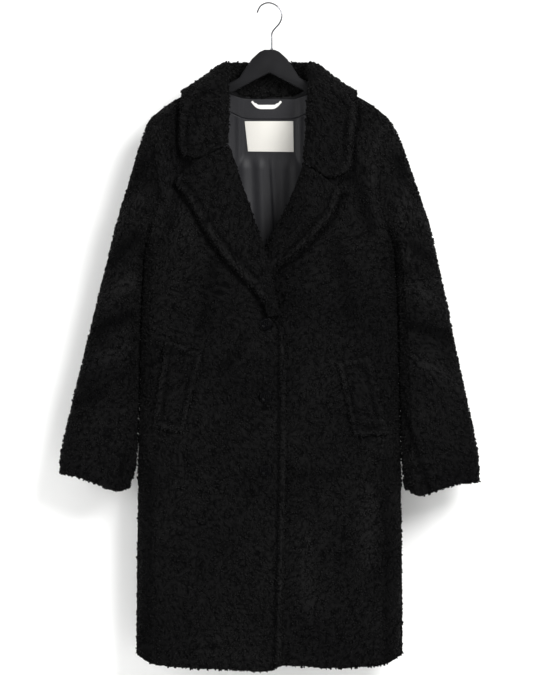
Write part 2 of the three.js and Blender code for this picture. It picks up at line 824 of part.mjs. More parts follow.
const COLLAR_BAND = {
  inside: COLLAR_STAND,
  outside: COLLAR_FALL,
  lay: COLLAR_LAY,
  reach: REACH_INSIDE.collar,
};
const LAPEL_BAND = {
  inside: FACING,
  outside: FOLDED_FUR,
  lay: LAPEL_LAY,
  reach: REACH_INSIDE.lapel,
};
const COLLAR_INSET = -(COLLAR_LAY + COLLAR_FALL / 2);

function collarSide(name, side) {
  const front = COLLAR_FRONT[name].map((station) => foldedLine(name, station, COLLAR_BAND));
  const narrower = side === RIGHT ? 0 : 4;
  const back = COLLAR_BACK.map((station) => {
    const at = Object.fromEntries(Object.entries(station).map(([part, [x, y, z]]) => {
      const inFrom = x > 30 && part !== 'edge' ? narrower : 0;
      return [part, vector(side * (x - inFrom), y, z)];
    }));
    const middle = seatOn(panelUnder(at.middle), at.middle, COLLAR_INSET, false);
    const edge = seatOn(panelUnder(at.edge), at.edge, COLLAR_INSET, true);
    return splitAtRoll([at.seam, at.stand, at.roll], [at.fall, middle, edge]);
  });
  return [...front.reverse(), ...back.reverse()];
}

// Smooth rows between the given ones
function between(rows, steps) {
  const count = rows.length - 1;
  const curves = rows[0].map((_, c) => bandSmooth(rows.map((row) => row[c])));
  const made = [];
  for (let i = 0; i <= count * steps; i += 1) {
    made.push(curves.map((curve) => curve.getPoint(i / (count * steps))));
  }
  return made;
}

const clearOfBody = (row) => row.map((p, c) => {
  if (c < BAND_COLUMNS.inside + 2) return p;
  return seatOn(panelUnder(p), p, COLLAR_INSET, false);
});

function addCollar() {
  const right = collarSide('right', RIGHT);
  const left = collarSide('left', LEFT).reverse().slice(1);
  add('collar', bandWall(between([...right, ...left], 2).map(clearOfBody), COLLAR_BAND), 'fur');
}

function addLapel(name) {
  const rows = LAPEL[name].map((station) => foldedLine(name, station, LAPEL_BAND));
  add(`lapel_${name}`, bandWall(rows, LAPEL_BAND), 'fur');
}

// What lies on a panel: a grid between four corners, as seen from the front

function laidPatch(seat, top, bottom, steps, lay, rise) {
  const outer = [];
  const inner = [];
  for (let r = 0; r <= steps.down; r += 1) {
    const v = r / steps.down;
    outer.push([]);
    inner.push([]);
    for (let c = 0; c <= steps.across; c += 1) {
      const u = c / steps.across;
      const x = mix(mix(top[0][0], top[1][0], u), mix(bottom[0][0], bottom[1][0], u), v);
      const z = mix(mix(top[0][1], top[1][1], u), mix(bottom[0][1], bottom[1][1], u), v);
      const under = seat(x, z) - lay;
      outer[r].push(vector(x, under - rise(u, v), z));
      inner[r].push(vector(x, under, z));
    }
  }
  return wall(outer, inner);
}

function addWelts() {
  const pillow = (u, v) => {
    const across = Math.min(u, 1 - u) * 4;
    const down = Math.min(v, 1 - v) * 8;
    return WELT_RISE * mix(0.55, 1, Math.min(1, across, down));
  };
  for (const name of ['right', 'left']) {
    const { top, bottom } = WELT[name];
    const seat = (x, z) => -faceOut(name, x, z);
    const patch = laidPatch(seat, top, bottom, { across: 4, down: 8 }, WELT_LAY, pillow);
    add(`pocket_welt_${name}`, patch, 'fur');
  }
}

function addButtons() {
  const { radius, thick } = BUTTONS;
  const profile = [
    [0, 0], [radius - 1, 0], [radius, 1], [radius, thick - 1.2], [radius - 1.2, thick],
    [radius - 3, thick - 0.4], [radius - 4.5, thick - 1.6], [0, thick - 1.6],
  ].map(([x, y]) => new THREE.Vector2(x, y));
  for (const [name, z] of Object.entries(BUTTONS.z)) {
    const button = new THREE.LatheGeometry(profile, 20);
    button.rotateX(Math.PI);
    button.translate(BUTTONS.x, faceY(PANELS.right.outer, BUTTONS.x, z) - LAID_ON, z);
    add(`button_${name}`, button, 'button');
  }
}

// Lining and label

const rowAtShare = (grid, share) => {
  const last = ROWS.length - 2;
  let i = 0;
  while (i < last && ROWS[i + 1].share < share) i += 1;
  const t = (share - ROWS[i].share) / (ROWS[i + 1].share - ROWS[i].share);
  return grid[i].map((p, c) => p.clone().lerp(grid[i + 1][c], t));
};

// The lining's stretch between two heights at the centre back, laid on the back's inner face
function liningRows(top, bottom) {
  const shareOf = (z) => (BACK_NECK.z - z) / (BACK_NECK.z - HEM);
  const shares = [shareOf(top), shareOf(bottom)];
  const apart = 0.004;
  const inBetween = ROWS.map((row) => row.share)
    .filter((share) => share > shares[0] + apart && share < shares[1] - apart);
  const { from, to } = LINING.columns;
  return [shares[0], ...inBetween, shares[1]].map((share) => {
    const row = rowAtShare(PANELS.back.inner, share);
    return row.slice(from, to + 1).map((p) => vector(p.x, p.y - LINING_LAY, p.z));
  });
}

const moved = (rows, y) => rows.map((row) => row.map((p) => vector(p.x, p.y + y, p.z)));
const liningWall = (rows) => wall(rows, moved(rows, -SATIN));

const YOKE = liningRows(LINING.top, LINING.yokeSeam);
const BACK_LINING = liningRows(LINING.yokeSeam - SEAM_GAP, LINING.bottom);

function addLining() {
  add('lining_yoke', liningWall(YOKE), 'satin');
  add('lining_back', liningWall(BACK_LINING), 'satin');
}

function addLabel() {
  const { x, z } = LABEL;
  const under = moved(BACK_LINING, -SATIN);
  const patch = laidPatch(
    (px, pz) => faceY(under, px, pz),
    [[x[0], z[0]], [x[1], z[0]]],
    [[x[0] + 6, z[1]], [x[1] + 1, z[1] - 1]],
    { across: 4, down: 3 },
    LAID_ON,
    () => LABEL_CLOTH,
  );
  add('neck_label', patch, 'label');
}

function addLoop() {
  const steps = 14;
  const rows = { outer: [], inner: [] };
  const under = moved(YOKE, -SATIN);
  for (let i = 0; i <= steps; i += 1) {
    const u = i / steps;
    const x = mix(LOOP.x[0], LOOP.x[1], u);
    const hang = Math.min(1, Math.sin(Math.PI * u) * 1.5);
    const z = LOOP.z - LOOP.sag * hang;
    const slope = ease(u * 5) * ease((1 - u) * 5);
    const turn = Math.PI / 2 - (1 - slope) * Math.sign(0.5 - u) * 0.9;
    const side = vector(Math.cos(turn), 0, Math.sin(turn)).multiplyScalar(LOOP.width / 2);
    const y = faceY(under, x, z) - LAID_ON;
    const back = vector(x, y, z);
    const face = vector(x, y - LOOP.thick, z);
    rows.outer.push([face.clone().sub(side), face.clone().add(side)]);
    rows.inner.push([back.clone().sub(side), back.clone().add(side)]);
  }
  add('hanging_loop', wall(rows.outer, rows.inner), 'tape');
}

// Hanger and hook

function hangerOutline() {
  const seat = (x) => shoulderHeight(x) - HANGER.shoulderSeat;
  const topSide = [];
  for (const x of [64, 80, 100, 120, 140, 158, 172, 184]) topSide.push([x, seat(x)]);
  const end = HANGER.end;
  const endZ = seat(end);
  const underSide = [];
  for (const x of [178, 160, 140, 120, 100, 80]) underSide.push([x, seat(x) - HANGER.armDepth]);
  return [
    ...HANGER_HEAD.map((row) => [row.x, row.z]),
    ...topSide,
    [end - 5, endZ + 0.5],
    [end, endZ - 5],
    [end - 1, endZ - 11],
    [end - 7, endZ - 14],
    ...underSide,
    ...HANGER_BELLY.map((row) => [row.x, row.z]).reverse(),
  ];
}

function addHanger() {
  const half = hangerOutline();
  const other = half.slice(1, -1).reverse().map(([x, z]) => [-x, z]);
  const outline = [...half, ...other].map(([x, z]) => new THREE.Vector2(x, z));
  const shape = new THREE.Shape(outline.reverse());
  const geometry = new THREE.ExtrudeGeometry(shape, {
    depth: HANGER.thick - 2 * HANGER.bevel,
    bevelThickness: HANGER.bevel,
    bevelSize: HANGER.bevel,
    bevelOffset: -HANGER.bevel,
    bevelSegments: 2,
  });
  geometry.rotateX(Math.PI / 2);
  geometry.translate(0, HANGER.thick / 2 - HANGER.bevel, 0);
  add('hanger', geometry, 'plastic');
}

function addHook() {
  const path = new THREE.CatmullRomCurve3(HOOK_PATH.map(([x, z]) => vector(x, 0, z)));
  const section = [];
  for (let i = 0; i < 8; i += 1) {
    const turn = (2 * Math.PI * i) / 8;
    section.push(new THREE.Vector2(Math.cos(turn) * WIRE / 2, Math.sin(turn) * WIRE / 2));
  }
  const geometry = new THREE.ExtrudeGeometry(new THREE.Shape(section), {
    extrudePath: path,
    steps: 28,
    bevelEnabled: false,
  });
  add('hook', geometry, 'wire');
}

addBody();
addSleeve('right', RIGHT);
addSleeve('left', LEFT);
addCollar();
addLapel('right');
addLapel('left');
addWelts();
addButtons();
addLining();
addLabel();
addLoop();
addHanger();
addHook();

export default coat;
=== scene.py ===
"""A black curly faux fur coat on its hanger: fur, lining, trim and stage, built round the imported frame"""

import math

import bmesh
import bpy
import numpy as np
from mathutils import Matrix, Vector
from mathutils.bvhtree import BVHTree


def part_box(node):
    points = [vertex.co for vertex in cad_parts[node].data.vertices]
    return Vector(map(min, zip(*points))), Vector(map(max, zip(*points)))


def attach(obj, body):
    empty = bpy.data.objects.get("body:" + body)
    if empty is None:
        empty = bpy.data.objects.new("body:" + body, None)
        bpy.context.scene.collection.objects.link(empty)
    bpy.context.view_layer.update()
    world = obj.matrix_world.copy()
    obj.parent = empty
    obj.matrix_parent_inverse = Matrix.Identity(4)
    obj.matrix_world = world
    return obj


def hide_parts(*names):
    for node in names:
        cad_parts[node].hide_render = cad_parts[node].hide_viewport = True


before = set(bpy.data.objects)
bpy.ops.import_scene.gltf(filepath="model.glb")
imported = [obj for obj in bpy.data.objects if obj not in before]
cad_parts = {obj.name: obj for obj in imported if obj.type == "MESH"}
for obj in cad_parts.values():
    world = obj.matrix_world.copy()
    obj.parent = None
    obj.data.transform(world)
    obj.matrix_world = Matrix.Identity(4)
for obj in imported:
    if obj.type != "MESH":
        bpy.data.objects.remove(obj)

bl_info = {
    "name": "Faux fur coat",
    "version": (1, 0, 0),
    "blender": (4, 5, 0),
    "location": "View3D > Sidebar > Coat",
    "description": "Builds the fur, lining, trim and stage of a faux fur coat on a hanger",
    "category": "Object",
}

MM = 0.001
TINY = 1e-9
FAR = 9.0

# Material slots of a fur wall
FUR = 0
BACKING = 1
SEAM = 2

# The photograph: its frame, the pixel where the origin lies and its scale at the coat
PHOTO_WIDTH = 533
PHOTO_HEIGHT = 675
HOOK_PIXEL = (269.5, 3.6)
METRES_A_PIXEL = 0.0018


# Picking and applying

WELD = 0.00002
FLAT_PAIR = math.radians(60)


def deselect():
    if bpy.context.mode != "OBJECT":
        bpy.ops.object.mode_set(mode="OBJECT")
    bpy.ops.object.select_all(action="DESELECT")


def pick(piece):
    deselect()
    piece.select_set(True)
    bpy.context.view_layer.objects.active = piece


def apply_all(piece):
    pick(piece)
    for modifier in list(piece.modifiers):
        bpy.ops.object.modifier_apply(modifier=modifier.name)


def set_down(piece):
    """Leaves the piece's place in its mesh, with its object at the origin"""
    pick(piece)
    bpy.ops.object.transform_apply(location=True, rotation=True, scale=True)


def copy_of(node, name):
    """A copy of a frame piece's mesh with its loose triangles merged into quads"""
    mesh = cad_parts[node].data.copy()
    mesh.name = name
    mesh.materials.clear()
    piece = bpy.data.objects.new(name, mesh)
    bpy.context.scene.collection.objects.link(piece)
    pick(piece)
    bpy.ops.object.mode_set(mode="EDIT")
    bpy.ops.mesh.select_all(action="SELECT")
    bpy.ops.mesh.remove_doubles(threshold=WELD)
    bpy.ops.mesh.tris_convert_to_quads(face_threshold=FLAT_PAIR, shape_threshold=FLAT_PAIR)
    bpy.ops.object.mode_set(mode="OBJECT")
    return piece


def mesh_piece(name, points, triangles):
    """A smooth-shaded piece from an array of points and one of triangles"""
    mesh = bpy.data.meshes.new(name)
    mesh.vertices.add(len(points))
    mesh.vertices.foreach_set("co", np.asarray(points, np.float32).ravel())
    mesh.loops.add(3 * len(triangles))
    mesh.loops.foreach_set("vertex_index", np.asarray(triangles, np.int32).ravel())
    mesh.polygons.add(len(triangles))
    starts = np.arange(0, 3 * len(triangles), 3, dtype=np.int32)
    mesh.polygons.foreach_set("loop_start", starts)
    mesh.polygons.foreach_set("use_smooth", np.ones(len(triangles), bool))
    mesh.update(calc_edges=True)
    piece = bpy.data.objects.new(name, mesh)
    bpy.context.scene.collection.objects.link(piece)
    return piece


def points_of(mesh):
    points = np.empty(3 * len(mesh.vertices), np.float32)
    mesh.vertices.foreach_get("co", points)
    return points.reshape(-1, 3).astype(float)


def move_points(mesh, points):
    mesh.vertices.foreach_set("co", np.asarray(points, np.float32).ravel())
    mesh.update()


def write_attribute(mesh, name, values):
    attribute = mesh.attributes.get(name) or mesh.attributes.new(name, "FLOAT", "POINT")
    attribute.data.foreach_set("value", np.asarray(values, np.float32))


def place(piece, slot, *nodes):
    """Every piece rides on the coat's one body"""
    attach(piece, "root")
    if nodes:
        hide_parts(*nodes)


# Uneven patterns over space

def ease(t):
    s = np.clip(t, 0, 1)
    return s * s * (3 - 2 * s)


def scattered(cells, seed):
    """Three even numbers from 0 to 1 for each cell of a grid, always the same ones"""
    cells = cells.astype(np.int64)
    mixed = cells[..., 0] * 73856093 ^ cells[..., 1] * 19349663 ^ cells[..., 2] * 83492791
    mixed ^= seed * 2654435761
    numbers = []
    for turn in (1103515245, 22695477, 69069):
        mixed = (mixed * turn + 12345) & 0x7FFFFFFF
        mixed ^= mixed >> 13
        numbers.append((mixed & 0xFFFFF) / 0xFFFFF)
    return np.stack(numbers, axis=-1)


def nearest_two(points, size, seed):
    """Distances to the nearest two of a field of scattered centres, in cell sizes"""
    places = points / size
    base = np.floor(places)
    first = np.full(len(points), FAR)
    second = np.full(len(points), FAR)
    for x in (-1, 0, 1):
        for y in (-1, 0, 1):
            for z in (-1, 0, 1):
                cell = base + (x, y, z)
                away = np.linalg.norm(cell + scattered(cell, seed) - places, axis=1)
                second = np.minimum(second, np.maximum(first, away))
                first = np.minimum(first, away)
    return first, second


def swell(points, size, seed):
    """Smooth unevenness between -1 and 1"""
    places = points / size
    base = np.floor(places)
    part = ease(places - base)
    total = np.zeros(len(points))
    for corner in range(8):
        step = np.array([corner & 1, corner >> 1 & 1, corner >> 2 & 1])
        weight = np.prod(np.where(step, part, 1 - part), axis=1)
        total += weight * scattered(base + step, seed)[:, 0]
    return 2 * total - 1


# Clusters of curls: their size, how wide the cracks are, and how far and how often their lines wander
CLUSTER = 0.0090
CLUSTER_SEED = 11
CRACK_SHARE = 0.26
WANDER = 0.003
WANDER_SIZE = 0.011
WANDER_SEEDS = (3, 4, 5)


def crackle(points):
    """1 on the clusters of curls and 0 in the dark cracks between them"""
    wander = np.stack([swell(points, WANDER_SIZE, seed) for seed in WANDER_SEEDS], axis=1)
    first, second = nearest_two(points + WANDER * wander, CLUSTER, CLUSTER_SEED)
    return ease((second - first) / CRACK_SHARE)


# Soft folds, rolled edges and stitched lines: width and rise of each, then the points it runs
# through, as across and height in millimetres. A negative rise is a trough. Through lit(), crests
# are also painted lighter and troughs painted darker.

FOLDS = {
    "front_right": (
        (3.0, -3.4, (16, -575), (17, -785), (13, -1001), (8, -1190)),
        (3.5, 2.2, (23, -575), (25, -785), (20, -1001), (14.5, -1190)),
        (7, 1.8, (-205, -225), (-196, -262), (-186, -345), (-208, -415)),
        # These two troughs run just outside the lapel's and the collar's edges, and are also painted shadow
        # from those edges
        (4, -3.2, (-172, -330), (-146, -365), (-115, -422), (-83, -466), (-38, -512),
         (-15, -540), (-9, -566)),
        (4, -2.8, (-160, -182), (-166, -215), (-166, -260), (-160, -281), (-142, -292)),
        (12, -2.0, (-150, -290), (-176, -400)),
        (16, 2.2, (-186, -300), (-150, -420)),
        (14, -1.6, (-100, -470), (-122, -580)),
        (10, -1.4, (-45, -600), (-80, -660)),
        (10, -1.6, (-215, -840), (-222, -1180)),
    ),
    "front_left": (
        (8, -1.4, (40, -850), (75, -846), (105, -848), (125, -843)),
        # These two troughs run just outside the lapel's and the collar's edges, and are also painted shadow
        # from those edges
        (4, -3.2, (136, -345), (124, -357), (120, -383), (74, -436), (43, -464), (20, -478)),
        (4, -2.8, (160, -186), (160, -215), (152, -245), (152, -298), (145, -311), (128, -319)),
        (16, 2.0, (64, -964), (66, -1085)),
        (16, 2.0, (176, -893), (174, -1003)),
        (7, 1.8, (200, -225), (190, -262), (182, -345), (204, -415)),
        (13, -2.0, (150, -300), (182, -410)),
        (14, -1.6, (120, -440), (146, -560)),
        (10, -1.6, (206, -820), (214, -1180)),
    ),
    "back": (
        (3, -2.2, (0, -200), (0, -1160)),
        (16, 2.2, (-190, -300), (-120, -470)),
        (17, 2.4, (188, -310), (130, -490)),
        (14, -1.8, (-70, -620), (-150, -700)),
        (13, -1.8, (80, -580), (160, -680)),
    ),
    "sleeve_right": (
        (11, -3.0, (-226, -290), (-262, -345)),
        (13, 3.2, (-232, -350), (-286, -410)),
        (11, -3.0, (-238, -420), (-290, -470)),
        (14, 3.2, (-246, -500), (-316, -545)),
        (10, -3.2, (-250, -560), (-322, -590)),
        (14, 3.0, (-262, -620), (-340, -655)),
        (10, -2.0, (-300, -700), (-350, -720)),
        (4, -2.0, (-260, -816), (-278, -879)),
    ),
    "sleeve_left": (
        (8, 2.6, (253, -323), (231, -366), (247, -461)),
        (12, -3.2, (228, -280), (268, -350)),
        (14, 3.2, (250, -360), (300, -400)),
        (10, -3.0, (240, -430), (300, -465)),
        (14, 3.4, (248, -510), (330, -560)),
        (10, -3.0, (252, -580), (330, -600)),
        (15, 2.8, (268, -640), (346, -690)),
        (5, -2.2, (235, -717), (262, -800), (288, -876)),
    ),
    "collar": (
        (3.5, 1.8, (-118, -142), (-148, -180), (-156, -215), (-156, -258), (-150, -272), (-137, -280)),
        (3.0, -2.2, (-112, -155), (-139, -186), (-147, -216), (-147, -252), (-140, -264)),
        (3.5, 1.8, (118, -145), (150, -182), (150, -214), (142, -245), (141, -293), (120, -307)),
        (3.0, -2.2, (112, -158), (141, -188), (140, -214), (133, -246), (132, -286)),
    ),
    "lapel_right": (
        (3.5, 2.8, (-160, -316), (-161, -328), (-137, -356), (-106, -413), (-74, -457), (-30, -503),
         (-7, -531)),
        (3.0, -2.2, (-150, -322), (-129, -348), (-98, -405), (-66, -449), (-22, -495)),
    ),
    "lapel_left": (
        (3.5, 2.6, (123, -338), (113, -352), (109, -376), (64, -427), (33, -455), (6, -468)),
        (3.0, -2.2, (112, -340), (102, -370), (59, -420), (28, -448)),
    ),
    "pocket_welt_right": (
        (3.5, 1.8, (-184, -608), (-124, -630), (-157, -767), (-205, -757), (-184, -608)),
        (3.5, -2.0, (-177, -620), (-134, -636), (-163, -756), (-195, -750), (-177, -620)),
    ),
    "pocket_welt_left": (
        (3.5, 1.8, (125, -649), (177, -637), (208, -770), (154, -772), (125, -649)),
        (3.5, -2.0, (134, -657), (170, -648), (198, -762), (160, -763), (134, -657)),
    ),
}
FULL_RISE = 0.002


def fold_rise(name, points):
    """How far the folds of a piece lift each point, in metres"""
    rise = np.zeros(len(points))
    for width, height, *line in FOLDS[name]:
        line = np.array(line) * MM
        away = np.full(len(points), FAR)
        for start, end in zip(line, line[1:]):
            run = end - start
            flat = points[:, [0, 2]] - start
            along = np.clip(flat @ run / (run @ run), 0, 1)
            away = np.minimum(away, np.linalg.norm(flat - along[:, None] * run, axis=1))
        rise += height * MM * np.exp(-((away / (width * MM)) ** 2))
    return rise


# Finishes

def finish_of(name):
    """A material, with its nodes and its Principled shader where it is new"""
    material = bpy.data.materials.get(name)
    if material:
        return material, None, None
    material = bpy.data.materials.new(name)
    material.use_nodes = True
    nodes = material.node_tree.nodes
    return material, nodes, nodes["Principled BSDF"]


def link(material, start, end):
    material.node_tree.links.new(start, end)


def object_pattern(nodes, material, kind, **values):
    """A procedural texture on Object coordinates"""
    coordinates = nodes.new("ShaderNodeTexCoord")
    pattern = nodes.new(kind)
    for socket, value in values.items():
        pattern.inputs[socket].default_value = value
    link(material, coordinates.outputs["Object"], pattern.inputs["Vector"])
    return pattern


def ramp(nodes, material, source, stops):
    """A colour ramp with the given (place, colour) stops"""
    node = nodes.new("ShaderNodeValToRGB")
    elements = node.color_ramp.elements
    while len(elements) < len(stops):
        elements.new(0.5)
    for element, (where, colour) in zip(elements, stops):
        element.position = where
        element.color = (*colour, 1)
    link(material, source, node.inputs["Fac"])
    return node


def bump(nodes, material, height, shader, strength, distance):
    node = nodes.new("ShaderNodeBump")
    node.inputs["Strength"].default_value = strength
    node.inputs["Distance"].default_value = distance
    link(material, height, node.inputs["Height"])
    link(material, node.outputs["Normal"], shader.inputs["Normal"])


def shade(colour, share):
    return tuple(channel * share for channel in colour)


def fur_finish():
    """Black curly pile: painted shade makes it dark at the roots and in the cracks, a little lighter on the
    curls, and painted light lifts its crests
    """
    material, nodes, shader = finish_of("curly_fur")
    if nodes is None:
        return material
    settings = bpy.context.scene.coat_fur
    dark = tuple(settings.painted_root_shade)
    light = tuple(settings.curl_colour)
    depth = nodes.new("ShaderNodeAttribute")
    depth.attribute_name = "curl"
    # Painted shade and light: the curl attribute runs from the shaded root colour up to the tips' colour
    painted_shade_root_to_tip = [(0.0, dark), (0.55, shade(light, 0.6)), (1.0, light)]
    colours = ramp(nodes, material, depth.outputs["Fac"], painted_shade_root_to_tip)
    patches = object_pattern(nodes, material, "ShaderNodeTexNoise", Scale=7.0, Detail=3.0)
    dull_to_fresh = [(0.3, (0.72, 0.72, 0.74)), (0.7, (1.2, 1.2, 1.18))]
    patch_shade = ramp(nodes, material, patches.outputs["Fac"], dull_to_fresh)
    mixed = nodes.new("ShaderNodeMix")
    mixed.data_type = "RGBA"
    mixed.blend_type = "MULTIPLY"
    mixed.inputs["Factor"].default_value = 1.0
    link(material, colours.outputs["Color"], mixed.inputs["A"])
    link(material, patch_shade.outputs["Color"], mixed.inputs["B"])
    link(material, mixed.outputs["Result"], shader.inputs["Base Color"])
    hairs = object_pattern(nodes, material, "ShaderNodeTexNoise", Scale=1600.0, Detail=2.0)
    bump(nodes, material, hairs.outputs["Fac"], shader, 0.6, 0.0006)
    shader.inputs["Roughness"].default_value = 0.8
    shader.inputs["Specular IOR Level"].default_value = 0.03
    shader.inputs["Sheen Weight"].default_value = 0.008
    shader.inputs["Sheen Roughness"].default_value = 0.4
    return material


def backing_finish():
    """The plain woven lining inside fronts and sleeves"""
    material, nodes, shader = finish_of("plain_lining")
    if nodes is None:
        return material
    weave = object_pattern(nodes, material, "ShaderNodeTexWave", Scale=700.0, Distortion=1.0)
    threads = [(0.0, (0.008, 0.008, 0.009)), (1.0, (0.014, 0.014, 0.015))]
    colours = ramp(nodes, material, weave.outputs["Fac"], threads)
    link(material, colours.outputs["Color"], shader.inputs["Base Color"])
    bump(nodes, material, weave.outputs["Fac"], shader, 0.2, 0.0002)
    shader.inputs["Roughness"].default_value = 0.6
    shader.inputs["Specular IOR Level"].default_value = 0.1
    return material


def satin_finish():
    """Dark grey satin: fine upright threads and a soft sheen"""
    material, nodes, shader = finish_of("satin_cloth")
    if nodes is None:
        return material
    colour = tuple(bpy.context.scene.coat_trim.satin_colour)
    coordinates = nodes.new("ShaderNodeTexCoord")
    stretch = nodes.new("ShaderNodeMapping")
    stretch.inputs["Scale"].default_value = (1.0, 1.0, 0.06)
    link(material, coordinates.outputs["Object"], stretch.inputs["Vector"])
    threads = nodes.new("ShaderNodeTexNoise")
    threads.inputs["Scale"].default_value = 900.0
    link(material, stretch.outputs["Vector"], threads.inputs["Vector"])
    thin_to_full = [(0.3, shade(colour, 0.88)), (0.7, shade(colour, 1.12))]
    colours = ramp(nodes, material, threads.outputs["Fac"], thin_to_full)
    link(material, colours.outputs["Color"], shader.inputs["Base Color"])
    bump(nodes, material, threads.outputs["Fac"], shader, 0.12, 0.0002)
    shader.inputs["Roughness"].default_value = 0.42
    shader.inputs["Specular IOR Level"].default_value = 0.14
    shader.inputs["Sheen Weight"].default_value = 0.02
    return material


def woven_finish(name, colour, threads_a_metre, dark):
    """Pale woven tape or label cloth"""
    material, nodes, shader = finish_of(name)
    if nodes is None:
        return material
    checks = object_pattern(nodes, material, "ShaderNodeTexWave", Scale=threads_a_metre, Distortion=0.6)
    colours = ramp(nodes, material, checks.outputs["Fac"], [(0.0, shade(colour, dark)), (1.0, colour)])
    link(material, colours.outputs["Color"], shader.inputs["Base Color"])
    bump(nodes, material, checks.outputs["Fac"], shader, 0.3, 0.0002)
    shader.inputs["Roughness"].default_value = 0.7
    shader.inputs["Sheen Weight"].default_value = 0.1
    return material


def moulded_finish(name, colour, roughness, shine, grain):
    """Moulded plastic with a fine grain and faint wear"""
    material, nodes, shader = finish_of(name)
    if nodes is None:
        return material
    patches = object_pattern(nodes, material, "ShaderNodeTexNoise", Scale=40.0, Detail=4.0)
    worn_to_clean = [(0.35, shade(colour, 0.85)), (0.7, shade(colour, 1.2))]
    colours = ramp(nodes, material, patches.outputs["Fac"], worn_to_clean)
    link(material, colours.outputs["Color"], shader.inputs["Base Color"])
    pits = object_pattern(nodes, material, "ShaderNodeTexNoise", Scale=1500.0, Detail=1.0)
    bump(nodes, material, pits.outputs["Fac"], shader, grain, 0.0002)
    shader.inputs["Roughness"].default_value = roughness
    shader.inputs["Specular IOR Level"].default_value = shine
    return material


def wire_finish():
    """Plated wire with faint drawing lines"""
    material, nodes, shader = finish_of("plated_wire")
    if nodes is None:
        return material
    scratches = object_pattern(nodes, material, "ShaderNodeTexNoise", Scale=300.0, Detail=3.0)
    roughness = nodes.new("ShaderNodeMapRange")
    roughness.inputs["To Min"].default_value = 0.12
    roughness.inputs["To Max"].default_value = 0.28
    link(material, scratches.outputs["Fac"], roughness.inputs["Value"])
    link(material, roughness.outputs["Result"], shader.inputs["Roughness"])
    shader.inputs["Base Color"].default_value = (0.16, 0.16, 0.17, 1)
    shader.inputs["Metallic"].default_value = 1.0
    return material


# Fur pieces: a wall on the frame's form, then curls all over its outside

SHARP_BEND = math.radians(50)
SEAM_REACH = 0.012
JUST_ABOVE = 0.0002
DEEPEST = 0.0052
INWARD = -0.3
ROUND_LEVELS = 2

# Edges longer than this many steps are split, up to so many times
LONG_EDGE = 1.45
SPLITS = 3

# Broad unevenness, the painted shade of the wall between its curls, and how much painted light the crests
# catch
SWAY_SIZE = 0.05
SWAY_SEED = 21
WALL_PAINTED_SHADE = 0.4
CREST_LIGHT = 0.6
LEAST_LIGHT = 0.3
MOST_LIGHT = 1.8

# The middles of body and sleeves, from which the fur side faces away: the body's is flat, and a
# sleeve's runs down through points across and up
BODY_MIDDLE = {"across": 0.055, "deep": 0.0045}
SLEEVE_MIDDLE_Y = -0.002
SLEEVE_MIDDLE = (
    (0.222, -0.30),
    (0.256, -0.425),
    (0.275, -0.56),
    (0.293, -0.69),
    (0.311, -0.812),
    (0.318, -0.9),
)


def from_body(point):
    return Vector((point.x / BODY_MIDDLE["across"], point.y / BODY_MIDDLE["deep"], 0)).normalized()


def from_sleeve(point):
    """Away from the sleeve's middle line, whichever sleeve it is"""
    side = 1 if point.x > 0 else -1
    across, heights = zip(*SLEEVE_MIDDLE)
    z = min(max(point.z, heights[-1]), heights[0])
    x = float(np.interp(-z, [-height for height in heights], across))
    return (point - Vector((side * x, SLEEVE_MIDDLE_Y, z))).normalized()


def keep_edges(form):
    """Keeps the sharp edges of a wall crisp when it is rounded"""
    crease = form.edges.layers.float.get("crease_edge") or form.edges.layers.float.new("crease_edge")
    for edge in form.edges:
        if len(edge.link_faces) == 2 and edge.calc_face_angle() > SHARP_BEND:
            edge[crease] = 1.0


def mark_backing(piece, away):
    """Tells a wall's backing from its fur side, and keeps its edges crisp"""
    form = bmesh.new()
    form.from_mesh(piece.data)
    keep_edges(form)
    for face in form.faces:
        if away is not None and face.normal.dot(away(face.calc_center_median())) < INWARD:
            face.material_index = BACKING
    form.to_mesh(piece.data)
    form.free()


def mark_seams(mesh, tree):
    """Marks what lies against a neighbour, where no pile can stand"""
    for face in mesh.polygons:
        if face.material_index == FUR:
            ahead = face.center + face.normal * JUST_ABOVE
            if tree.ray_cast(ahead, face.normal, SEAM_REACH)[0] is not None:
                face.material_index = SEAM


def refine(piece, step, wanted=lambda face: face.material_index == FUR):
    """Splits the long edges of the wanted faces until the form has room for its details"""
    form = bmesh.new()
    form.from_mesh(piece.data)
    for _ in range(SPLITS):
        long_edges = [
            edge for edge in form.edges
            if edge.calc_length() > LONG_EDGE * step and any(wanted(face) for face in edge.link_faces)
        ]
        if not long_edges:
            break
        bmesh.ops.subdivide_edges(form, edges=long_edges, cuts=1, use_grid_fill=True)
    form.to_mesh(piece.data)
    form.free()


def tree_of(nodes):
    """A tree of some of the frame's pieces, for finding what a face lies against"""
    points, faces = [], []
    for node in nodes:
        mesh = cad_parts[node].data
        start = len(points)
        points.extend(vertex.co.copy() for vertex in mesh.vertices)
        faces.extend([start + index for index in face.vertices] for face in mesh.polygons)
    return BVHTree.FromPolygons(points, faces)


def side_normals(mesh, side):
    """Each point's normal from one side's faces alone, and nothing where there are none"""
    total = np.zeros((len(mesh.vertices), 3))
    for face in mesh.polygons:
        if face.material_index == side:
            normal = tuple(face.normal)
            for index in face.vertices:
                total[index] += normal
    length = np.linalg.norm(total, axis=1)
    return total / np.maximum(length, TINY)[:, None] * (length > 0)[:, None]


def lit(folded):
    """Painted light: crests are coloured lighter than troughs, as though they catch more light"""
    return np.clip(1 + CREST_LIGHT * folded / FULL_RISE, LEAST_LIGHT, MOST_LIGHT)


def round_off(piece, levels):
    """Subdivides a piece smoothly"""
    modifier = piece.modifiers.new("round", "SUBSURF")
    modifier.levels = levels
    modifier.render_levels = levels
    apply_all(piece)


def shade_smooth(mesh):
    mesh.polygons.foreach_set("use_smooth", np.ones(len(mesh.polygons), bool))


